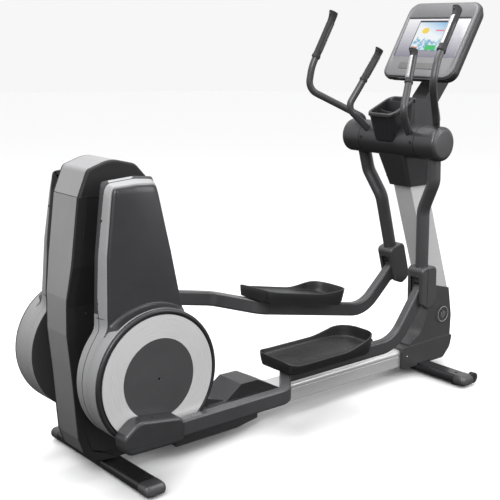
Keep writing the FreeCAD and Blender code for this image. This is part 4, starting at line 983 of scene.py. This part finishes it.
def jackPlate(look):
    # socket plate under the console's face, with two round openings
    wide, high, corner = look["jackPlate"]
    low = look["middle"] - look["tall"]
    place = glassAlong * (low + 0.004) + glassOut * (look["front"] - 0.020)
    down = -glassAlong
    plate = []
    for grow, out in ((0.0, -0.010), (0.0, 0.003), (-0.001, 0.004), (-0.004, 0.004)):
        flat = roundedLoop(wide + grow, high + grow, corner + grow * 0.5)
        plate.append(np.outer(flat[:, 0], (0, 1.0, 0)) + np.outer(flat[:, 1], glassOut) + place + down * out)
    makePiece("jack_plate", *closedLoft(np.array(plate)), "consoleGrey", "frame", "console_grey")
    sockets = []
    for away, radius in look["jacks"]:
        centre = place + np.array((0, away, 0))
        profile = ((0.001, 0.0005), (0.001, radius), (0.0050, radius), (0.0056, radius - 0.0008),
                   (0.0050, radius - 0.0016), (0.0030, radius - 0.0018), (0.0030, 0.0005))
        sockets.append(turnedShape(centre, down, profile, 28))
    makePiece("jack_sockets", *gather(sockets), "cableBlack", "frame", "black_rubber")


consolePieces(console)
jackPlate(console)
print("console ready")


# grips
grip = {
    "movingRadius": 0.0182,
    "fixedRadius": 0.0172,
    "flat": 0.86,
    "plateSpan": 74.0,      # degrees each side of the middle
    "plateThick": 0.0016,
    # along the sleeve, size, and shift to the rear
    "sleeve": ((-0.500, 1.04, 0), (-0.497, 1.16, 0), (-0.440, 1.17, 0), (-0.430, 1.03, 0), (-0.30, 0.98, 0),
               (0.10, 0.97, 0), (0.30, 1.00, 0), (0.38, 1.06, 0.10), (0.44, 1.16, 0.25), (0.485, 1.24, 0.42),
               (0.500, 1.18, 0.46), (0.504, 0.90, 0.44)),
}


def axisOf(points):
    # middle, direction (upwards) and length of a long thin cloud of points
    middle = (points.max(0) + points.min(0)) / 2
    vectors = np.linalg.eigh(np.cov((points - points.mean(0)).T))[1]
    along = vectors[:, -1] * (1 if vectors[2, -1] > 0 else -1)
    reach = (points - middle) @ along
    middle = middle + along * (reach.max() + reach.min()) / 2
    return middle, along, reach.max() - reach.min()


def gripShapes(middle, along, length, radius, look):
    # sleeve: collar at the foot, a slight waist, and a head that flares to the rear
    rear = np.cross(np.cross(along, (-1.0, 0, 0)), along)
    rear /= np.linalg.norm(rear)
    stops = np.array(look["sleeve"])
    fine = np.interp(np.linspace(0, len(stops) - 1, 67), np.arange(len(stops)), stops[:, 0])
    size = np.interp(fine, stops[:, 0], stops[:, 1])
    back = np.interp(fine, stops[:, 0], stops[:, 2])
    path = middle + np.outer(fine * length, along) + np.outer(back * radius, rear)
    across = np.cross(along, rear)
    turn = np.linspace(0, 2 * np.pi, 40, endpoint=False)
    rows = path[:, None] + (radius * size)[:, None, None] * (
        rear * np.cos(turn)[None, :, None] + across * look["flat"] * np.sin(turn)[None, :, None])
    knob = middle + along * length * 0.43 + rear * radius * 1.30
    profile = ((-0.008, 0.001), (-0.008, 0.0060), (0.0010, 0.0060), (0.0030, 0.0048), (0.0036, 0.002))
    button = turnedShape(knob, rear, profile, 24)
    return closedLoft(rows), button


def gripPlate(middle, along, length, radius, facing, look):
    # curved steel plate against the sleeve, turned to one direction
    out = facing - along * (facing @ along)
    out /= np.linalg.norm(out)
    across = np.cross(along, out)
    span = np.radians(look["plateSpan"])
    turn = np.linspace(-span, span, 26)
    rows = []
    for share in np.linspace(-0.36, 0.30, 24):
        end = min(1.0, (0.33 - abs(share + 0.03)) / 0.02 + 0.25)
        top, low = radius * 0.985 + look["plateThick"] * end, radius * 0.93
        arc = np.concatenate([np.stack([top * np.cos(turn), top * np.sin(turn)], 1),
                              np.stack([low * np.cos(turn), low * np.sin(turn)], 1)[::-1]])
        rows.append(middle + along * share * length + arc[:, :1] * out + arc[:, 1:] * across)
    return closedLoft(np.array(rows))


def makeGrip(name, points, radius, body, stands, facing):
    middle, along, length = axisOf(points)
    sleeve, button = gripShapes(middle, along, length, radius, grip)
    makePiece(name + "_sleeve", *sleeve, "rubber", body, "black_rubber", stands)
    makePiece(name + "_button", *button, "pedalBlack", body, "charcoal_plastic")
    plate = gripPlate(middle, along, length, radius, np.array(facing), grip)
    makePiece(name + "_plate", *plate, "plateSteel", body, "bright_steel")


for side, hand in ((-1, "right"), (1, "left")):
    facing = (-0.80, 0.60, 0.0) if side < 0 else (0.80, 0.60, 0.0)
    makeGrip("moving_grip_" + hand, pointsOf("moving_grip_" + hand), grip["movingRadius"], "swing_" + hand,
             ["moving_grip_" + hand], facing)
    makeGrip("fixed_grip_" + hand, pointsOf("fixed_grips", lambda p: p[:, 1] * side > 0), grip["fixedRadius"],
             "frame", ["fixed_grips"], facing)
print("grips ready")


# pivot housing
pivotLow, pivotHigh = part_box("pivot_housing")
pivot = {
    "centre": np.array(((pivotLow.x + pivotHigh.x) / 2, 0, (pivotLow.z + pivotHigh.z) / 2)),
    "radius": (pivotHigh.z - pivotLow.z) / 2,
    "jointSide": 0.1615,
    "capSide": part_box("end_housing_left")[1].y,
    "screws": ((0.146, 178), (-0.146, 178)),        # to the side, degrees from the front over the top
    "endScrews": ((0.180, 222), (0.232, 230)),
}


def screwShape(centre, out, radius=0.0050):
    # round head with a small recess in the middle
    profile = ((-0.003, 0.001), (-0.003, radius), (0.0006, radius), (0.0014, radius * 0.86),
               (0.0014, radius * 0.5), (0.0002, radius * 0.42), (0.0002, 0.0005))
    return turnedShape(centre, out, profile, 20)


def housingScrews(places, radius, look):
    shapes = []
    for away, angle in places:
        a = math.radians(angle)
        out = np.array((math.cos(a), 0, math.sin(a)))
        shapes.append(screwShape(look["centre"] + out * look["radius"] + np.array((0, away, 0)), out, radius))
    return gather(shapes)


def pivotPieces(look):
    reach = look["radius"]
    bend = np.linspace(0, np.pi / 2, 8)
    ring = ((-0.0018, reach - 0.004), (-0.0018, reach + 0.0006),
            (0.0018, reach + 0.0006), (0.0018, reach - 0.004))
    cap = [(-0.004, reach * 0.7), (-0.004, reach - 0.0095)]
    cap += [(0.0006 + 0.0060 * np.sin(t), reach - 0.0100 - 0.0120 * (1 - np.cos(t))) for t in bend]
    cap += [(0.0078, reach * 0.45), (0.0080, 0.004)]
    for side, hand in ((-1, "right"), (1, "left")):
        centre = look["centre"] + np.array((0, side * look["jointSide"], 0))
        makePiece("pivot_joint_" + hand, *turnedShape(centre, (0, 1, 0), ring, 96), "cableBlack", "frame",
                  "black_rubber")
        centre = look["centre"] + np.array((0, side * (look["capSide"] - 0.001), 0))
        makePiece("pivot_cap_" + hand, *turnedShape(centre, (0, side, 0), cap, 72), "capGrey",
                  "swing_" + hand, "charcoal_plastic")
    makePiece("pivot_screws", *housingScrews(look["screws"], 0.0078, look), "cableBlack", "frame",
              "black_rubber")
    for side, hand in ((-1, "right"), (1, "left")):
        places = [(side * away, angle) for away, angle in look["endScrews"]]
        makePiece("end_housing_screws_" + hand, *housingScrews(places, 0.0070, look), "cableBlack",
                  "swing_" + hand, "black_rubber")


pivotPieces(pivot)
print("pivot housing ready")


# pedals
pedalLow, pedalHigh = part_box("pedal_right")
pedal = {
    "middle": ((pedalLow.x + pedalHigh.x) / 2, -(pedalLow.y + pedalHigh.y) / 2),
    "half": ((pedalHigh.x - pedalLow.x) / 2, (pedalHigh.y - pedalLow.y) / 2),
    "toeCorner": 0.088, "heelCorner": 0.040,
    "under": pedalLow.z + 0.002, "floor": pedalLow.z + 0.031,
    "wall": 0.0055, "flare": 0.010, "underRound": 0.006,
    "toeRise": 0.050, "sideRise": 0.011, "innerRise": 0.024, "heelRise": 0.027,
    "ribs": 11, "ribPitch": 0.0145, "ribHeight": 0.0011,
}


def pedalLoop(shrink, look, count=26):
    # plan outline, toe forward, with large toe corners and small heel corners
    halfX, halfY = look["half"][0] - shrink, look["half"][1] - shrink
    loop = []
    for k, (su, sv) in enumerate(((1, 1), (-1, 1), (-1, -1), (1, -1))):
        corner = (look["toeCorner"] if su > 0 else look["heelCorner"]) - shrink * 0.7
        turn = np.linspace(0, np.pi / 2, count) + k * np.pi / 2
        loop.append(np.stack([su * (halfX - corner) + corner * np.cos(turn),
                              sv * (halfY - corner) + corner * np.sin(turn)], 1))
        if k in (0, 2):
            share = np.linspace(0, 1, 26)[1:-1, None]
            sign = -1 if k == 0 else 1
            other = (look["heelCorner"] if k == 0 else look["toeCorner"]) - shrink * 0.7
            stop = np.array((sign * (halfX - other), sv * halfY))
            loop.append(loop[-1][-1] * (1 - share) + stop * share)
    return np.concatenate(loop)


def rimRise(flat, look):
    # rim over the floor: high round the toe, low at the outer side, and up again at the heel corners
    halfX, halfY = look["half"]
    along, across = flat[:, 0] / halfX, flat[:, 1] / halfY
    side = look["sideRise"] + (look["innerRise"] - look["sideRise"]) * smoothStep(-across, -0.6, 0.6)
    toe = (look["toeRise"] - side) * smoothStep(along, 0.15, 0.95)
    heel = (look["heelRise"] - side) * smoothStep(-along, 0.72, 0.98) * smoothStep(-across, -1.4, -0.2)
    return side + toe + np.maximum(heel, 0)


def pedalRows(look):
    # section from under the tray, up its flared side, over the rim and down to the floor
    top = look["floor"] + rimRise(pedalLoop(0.0, look), look)
    wall, soft = look["wall"], look["underRound"]

    def row(shrink, height):
        flat = pedalLoop(shrink, look)
        return np.stack([flat[:, 0], flat[:, 1], np.broadcast_to(height, len(flat))], 1)

    rows = [row(0.070, look["under"]), row(look["flare"] + soft, look["under"])]
    for turn in np.linspace(0, np.pi / 2, 6):
        shrink = look["flare"] + soft * (1 - np.sin(turn)) - 0.002
        rows.append(row(shrink, look["under"] + soft * (1 - np.cos(turn))))
    rows.append(row(look["flare"] * 0.35, look["floor"] - 0.004))
    rows.append(row(0.0, top - 0.003))
    for turn in np.linspace(0, np.pi, 9):
        rows.append(row(wall / 2 * (1 - np.cos(turn)), top - 0.003 + 0.003 * np.sin(turn)))
    for level in (0.5, 0.25):
        height = look["floor"] + 0.004 + (top - 0.007 - look["floor"]) * level
        rows.append(row(wall + 0.003 * (1 - level), height))
    for turn in np.linspace(0, np.pi / 2, 6):
        rows.append(row(wall + 0.004 + 0.008 * np.sin(turn), look["floor"] + 0.004 * (1 - np.sin(turn))))
    rows.append(row(0.060, look["floor"]))
    return np.array(rows)


def pedalShapes(look):
    shapes = [closedLoft(pedalRows(look))]
    halfX = look["half"][0]
    for k in range(look["ribs"]):
        across = (k - (look["ribs"] - 1) / 2) * look["ribPitch"]
        reach = halfX - 0.045 - 0.030 * (abs(across) / look["half"][1]) ** 2
        along = np.linspace(-halfX + 0.035, reach, 30)
        ends = np.clip(np.minimum(along - along[0], along[-1] - along) / 0.008, 0.15, 1)
        path = np.stack([along, np.full(30, across), np.full(30, look["floor"] - 0.0003)], 1)
        shapes.append(tubeShape(path, 0.0028 * ends, 10, (0, 0, 1), flat=look["ribHeight"] / 0.0028))
    return shapes


def turnOf(points):
    # pitch and middle of a mesh seen from the side
    flat = points[:, (0, 2)]
    vectors = np.linalg.eigh(np.cov((flat - flat.mean(0)).T))[1]
    along = vectors[:, -1] * (1 if vectors[0, -1] > 0 else -1)
    middle = (along * ((flat @ along).max() + (flat @ along).min()) / 2)
    up = np.array((-along[1], along[0]))
    return math.atan2(along[1], along[0]), middle + up * ((flat @ up).max() + (flat @ up).min()) / 2


def makePedals(look):
    baseTurn, baseMiddle = turnOf(pointsOf("pedal_right"))
    points, faces = gather(pedalShapes(look))
    points = points + (*look["middle"], 0)
    for side, hand in ((-1, "right"), (1, "left")):
        turn, middle = turnOf(pointsOf("pedal_" + hand))
        placed = pitched(points, baseMiddle, turn - baseTurn, middle, side)
        makePiece("pedal_tray_" + hand, placed, faces, "pedalBlack", "pedal_body_" + hand, "black_plastic",
                  ["pedal_" + hand])


makePedals(pedal)
print("pedals ready")


# accessory tray
trayLow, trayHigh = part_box("accessory_tray")
trayPoints = pointsOf("accessory_tray")
tray = {
    "middle": (trayLow.x + trayHigh.x) / 2 - 0.002,
    "half": ((trayHigh.x - trayLow.x) / 2 + 0.004, trayHigh.y + 0.002),
    "rimNear": float(trayPoints[trayPoints[:, 0] < trayLow.x + 0.02][:, 2].max()),
    "rimFar": trayHigh.z,
    "under": trayLow.z + 0.004,
    "floor": trayLow.z + 0.050,
    "corner": 0.034,
    "rimRound": 0.0045,
    "neck": (0.0675, 0.012),
    "neckSteps": ((0.690, 0.010), (0.692, 0.002), (0.722, 0.0), (0.752, 0.0), (0.754, 0.006)),
}


def trayBody(look):
    halfX, halfY = look["half"]
    slope = (look["rimFar"] - look["rimNear"]) / (2 * halfX)

    def row(shrinkX, shrinkY, level, shift=0.0):
        # level 1 is the sloping rim, level 0 the underside
        flat = roundedLoop(halfX - shrinkX, halfY - shrinkY, look["corner"] - min(shrinkX, shrinkY) * 0.5)
        rim = look["rimNear"] + slope * (flat[:, 0] + halfX)
        height = look["under"] + (rim - look["under"]) * level
        return np.stack([flat[:, 0] + look["middle"] + shift, flat[:, 1], height], 1)

    rows = [row(0.06, 0.06, -0.12, 0.02), row(0.034, 0.034, -0.12, 0.018), row(0.024, 0.022, -0.06, 0.014),
            row(0.019, 0.017, 0.10, 0.012), row(0.010, 0.009, 0.55, 0.007), row(0.0052, 0.0048, 0.845, 0.001),
            row(0.0045, 0.0042, 0.865), row(0.0004, 0.0004, 0.885), row(0.0, 0.0, 0.90), row(0.0, 0.0, 0.975)]
    for turn in np.linspace(0, np.pi / 2, 6)[1:]:
        inset = look["rimRound"] * (1 - np.cos(turn))
        rows.append(row(inset, inset, 0.978 + 0.022 * np.sin(turn)))
    for turn in np.linspace(0, np.pi / 2, 6):
        inset = look["rimRound"] + 0.003 + 0.004 * np.sin(turn)
        rows.append(row(inset, inset, 1.0 - 0.022 * (1 - np.cos(turn))))
    rows += [row(0.0125, 0.0125, 0.90), row(0.020, 0.018, 0.50, 0.006), row(0.024, 0.022, 0.36, 0.01),
             row(0.030, 0.028, 0.33, 0.01), row(0.06, 0.06, 0.33, 0.01)]
    makePiece("tray_body", *closedLoft(np.array(rows)), "trayBlack", "frame", "black_plastic",
              ["accessory_tray"])


def trayNeck(look):
    # short hollow-looking block that joins the tray to the upper neck cover
    wide, corner = look["neck"]
    top = look["rimNear"] + (look["rimFar"] - look["rimNear"]) / 2 * 1.55 - 0.004
    low = look["under"] + 0.004
    rows = []
    for x, shrink in look["neckSteps"]:
        flat = roundedLoop(wide - shrink, (top - low) / 2 - shrink, corner, (top + low) / 2, 12)
        rows.append(np.stack([np.full(len(flat), x), flat[:, 0], flat[:, 1]], 1))
    makePiece("tray_neck", *closedLoft(np.array(rows)), "trayBlack", "frame", "black_plastic")


def trayDivider(look):
    # thin wall between the two bins, its top edge dipping in the middle
    wide = look["half"][1] - 0.012
    middle = (look["rimFar"] + look["rimNear"]) / 2
    low = look["floor"] - 0.010
    bend = np.linspace(0, 2 * np.pi, 20, endpoint=False)
    section = np.stack([0.0026 * np.cos(bend), np.sign(np.sin(bend)) * np.abs(np.sin(bend)) ** 0.25], 1)
    loops = []
    for across in np.linspace(-wide, wide, 25):
        top = middle - (0.020 + 0.010 * (1 - (across / wide) ** 2))
        loops.append(np.stack([look["middle"] + 0.004 + section[:, 0], np.full(20, across),
                               (top + low) / 2 + section[:, 1] * (top - low) / 2], 1))
    makePiece("tray_divider", *closedLoft(np.array(loops)), "trayBlack", "frame", "black_plastic")


trayBody(tray)
trayNeck(tray)
trayDivider(tray)
print("accessory tray ready")


# badge
badge = {"centre": (0.981, -0.0768, 0.266), "radius": 0.036, "line": 0.0042}


def badgePieces(look):
    # plain ring with three upright bars, no lettering
    centre = np.array(look["centre"])
    turn = np.linspace(0, 2 * np.pi, 80, endpoint=False)
    ring = centre + look["radius"] * np.stack([np.cos(turn), 0 * turn, np.sin(turn)], 1)
    shapes = [tubeShape(ring, look["line"] / 2, 10, (0, 1, 0), True, 0.35)]
    for shift, tall in ((-0.013, 0.010), (0.0, 0.018), (0.013, 0.010)):
        path = centre + np.stack([np.full(9, shift), np.zeros(9), np.linspace(-tall, tall, 9)], 1)
        shapes.append(tubeShape(path, look["line"] / 2, 10, (0, 1, 0), False, 0.35))
    makePiece("front_badge", *gather(shapes), "plateSteel", "frame", "bright_steel")


badgePieces(badge)
print("badge ready")


# joints between covers, and end caps
def laidOn(name, path, lift=0.0002):
    # each point moved to the nearest place on a node's surface
    node = nodes[name]
    inverse = node.matrix_world.inverted()
    placed = []
    for point in path:
        place, normal = node.closest_point_on_mesh(inverse @ Vector(point))[1:3]
        placed.append(node.matrix_world @ (place + normal * lift))
    return np.array([tuple(point) for point in placed])


def straight(*corners, step=0.006):
    # a line through corners, in short even steps
    corners = np.array(corners, float)
    points = [corners[:1]]
    for start, stop in zip(corners[:-1], corners[1:]):
        count = max(2, int(np.linalg.norm(stop - start) / step))
        points.append(start + (stop - start) * np.linspace(0, 1, count + 1)[1:, None])
    return np.concatenate(points)


def jointLineOn(name, node, path, body, radius=0.0009, up=(0.13, 0.21, 0.97)):
    points, faces = tubeShape(laidOn(node, path), radius, 8, up)
    makePiece(name, points, faces, "cableBlack", body, "black_rubber")


def toLeftArm(points):
    # from the right pedal arm to the left one: mirrored, moved and pitched with its pedal
    (turn, middle), (leftTurn, leftMiddle) = turnOf(pointsOf("pedal_right")), turnOf(pointsOf("pedal_left"))
    return pitched(points, middle, leftTurn - turn, leftMiddle, -1)


swingPlace = {"pivot": (0.6895, 1.117), "turn": math.radians(14.511)}


def toLeftSwing(points, look=swingPlace):
    # from the right swing arm to the left one: mirrored and turned about the pivot
    return pitched(points, look["pivot"], look["turn"], look["pivot"], -1)


bootLow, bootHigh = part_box("arm_boot_right")
boot = {
    "jointFrom": (bootHigh.x - 0.004, bootLow.z + 0.028), "jointTo": (bootLow.x, bootLow.z + 0.034),
    "screws": ((-0.915, 0.300), (-0.862, 0.300)),
}


def bootJoints(look):
    out = bootLow.y - 0.002
    (x0, z0), (x1, z1) = look["jointFrom"], look["jointTo"]
    path = straight((x0, out, z0), (x1, out, z1), (x1 - 0.004, out + 0.050, z1))
    jointLineOn("boot_joint_right", "arm_boot_right", path, "pedal_body_right")
    jointLineOn("boot_joint_left", "arm_boot_left", toLeftArm(path), "pedal_body_left")
    centres = np.array([(x, (bootLow.y + bootHigh.y) / 2, z) for x, z in look["screws"]])
    for hand, places in (("right", centres), ("left", toLeftArm(centres))):
        shapes = []
        for place in laidOn("arm_boot_" + hand, places):
            shapes.append(screwShape(place, (0, 0, 1), 0.0046))
        makePiece("boot_screws_" + hand, *gather(shapes), "cableBlack", "pedal_body_" + hand, "black_rubber")


coverLow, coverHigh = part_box("rocker_cover_right")
rockerCover = {"screwDown": 0.046, "jointBack": 0.036}


def rockerDetails(look):
    middle, level = (coverLow.y + coverHigh.y) / 2, coverHigh.z - look["screwDown"]
    centre = np.array([(coverLow.x - 0.004, middle, level)])
    out = np.array([(coverLow.x - 0.104, middle, level)])
    for hand, place, end in (("right", centre, out), ("left", toLeftSwing(centre), toLeftSwing(out))):
        spot = laidOn("rocker_cover_" + hand, place)[0]
        makePiece("rocker_screw_" + hand, *screwShape(spot, (end - place)[0], 0.0060), "cableBlack",
                  "swing_" + hand, "black_rubber")
    x, y = coverLow.x + look["jointBack"], coverLow.y - 0.01
    line = straight((x, y, coverHigh.z + 0.004), (x, y, coverLow.z + 0.010))
    jointLineOn("rocker_joint_right", "rocker_cover_right", line, "swing_right", up=(1, 0.1, 0.1))
    jointLineOn("rocker_joint_left", "rocker_cover_left", toLeftSwing(line), "swing_left", up=(1, 0.1, 0.1))


tower = {"capScrewSide": 0.084, "flankScrews": ((-0.955, 0.628), (-0.930, 0.160))}      # x, height


def towerJoints(look):
    capLow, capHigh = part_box("tower_cap")
    level = capLow.z + 0.0004
    half = capHigh.y + 0.004
    path = straight((capHigh.x - 0.02, -half, level), (capLow.x - 0.004, -half, level),
                    (capLow.x - 0.004, half, level), (capHigh.x - 0.02, half, level))
    points, faces = tubeShape(laidOn("tower_cap", path), 0.0011, 8, (0.01, 0.02, 1))
    makePiece("tower_cap_joint", points, faces, "cableBlack", "frame", "black_rubber")
    spots = laidOn("tower_cap", [(capLow.x, look["capScrewSide"], capLow.z + 0.004)])
    makePiece("tower_screw", *screwShape(spots[0], (-1, 0, 0), 0.0042), "cableBlack", "frame", "black_rubber")
    flank = laidOn("tower_side_panels", [(x, -0.10, z) for x, z in look["flankScrews"]])
    shapes = [screwShape(spot, (0, -1, 0), 0.0050) for spot in flank]
    shapes += [screwShape(spot, (0, 1, 0), 0.0050) for spot in flank * (1, -1, 1)]
    makePiece("flank_screws", *gather(shapes), "cableBlack", "frame", "black_rubber")


def shroudJoints():
    low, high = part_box("neck_shroud")
    edge = -high.y - 0.01
    path = straight((low.x + 0.01, edge, low.z + 0.020), (high.x, edge, low.z + 0.055))
    jointLineOn("neck_joint_right", "neck_shroud", path, "frame")
    jointLineOn("neck_joint_left", "neck_shroud", path * (1, -1, 1), "frame")
    low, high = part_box("front_base_shroud")
    spot = laidOn("front_base_shroud", [(low.x + 0.028, low.y - 0.01, low.z + 0.060)])[0]
    shapes = [screwShape(spot, (0, -1, 0), 0.0042), screwShape(spot * (1, -1, 1), (0, 1, 0), 0.0042)]
    makePiece("front_screws", *gather(shapes), "groundSteel", "frame", "bright_steel")


endCap = {"corner": 0.0185, "grow": 0.0022}


def stabilizerCaps(look):
    # rounded socket over each tube's end, closed by a domed oval
    caps = pointsOf("stabilizer_end_caps")
    for front in (False, True):
        for side, hand in ((-1, "right"), (1, "left")):
            points = caps[((caps[:, 0] > 0) == front) & (caps[:, 1] * side > 0)]
            low, high = points.min(0), points.max(0)
            middle, half = (low + high) / 2, (high - low) / 2 + (look["grow"], 0, look["grow"] * 0.4)
            near, far = (low[1], high[1]) if side > 0 else (high[1], low[1])
            rows = []

            def row(shrink, share, lean=0.0):
                corner = look["corner"] - shrink * 0.5
                flat = roundedLoop(half[0] - shrink, half[2] - shrink * 0.8, corner, count=14)
                y = near + (far - near) * share - side * lean * (flat[:, 1] / half[2])
                rows.append(np.stack([flat[:, 0] + middle[0], y, flat[:, 1] + middle[2]], 1))

            row(0.010, 0.0)
            row(0.0012, 0.0)
            row(0.0, 0.03)
            row(0.0, 0.45)
            for turn in np.linspace(0, np.pi / 2, 7):
                row(0.0060 * (1 - np.cos(turn)), 0.62 + 0.30 * np.sin(turn), 0.004)
            row(0.0085, 0.965, 0.005)
            row(0.0140, 0.995, 0.005)
            name = "stabilizer_cap_" + ("front_" if front else "rear_") + hand
            makePiece(name, *closedLoft(np.array(rows)), "capGrey", "frame", "charcoal_plastic",
                      ["stabilizer_end_caps"])


bootJoints(boot)
rockerDetails(rockerCover)
towerJoints(tower)
shroudJoints()
stabilizerCaps(endCap)
print("joints and caps ready")
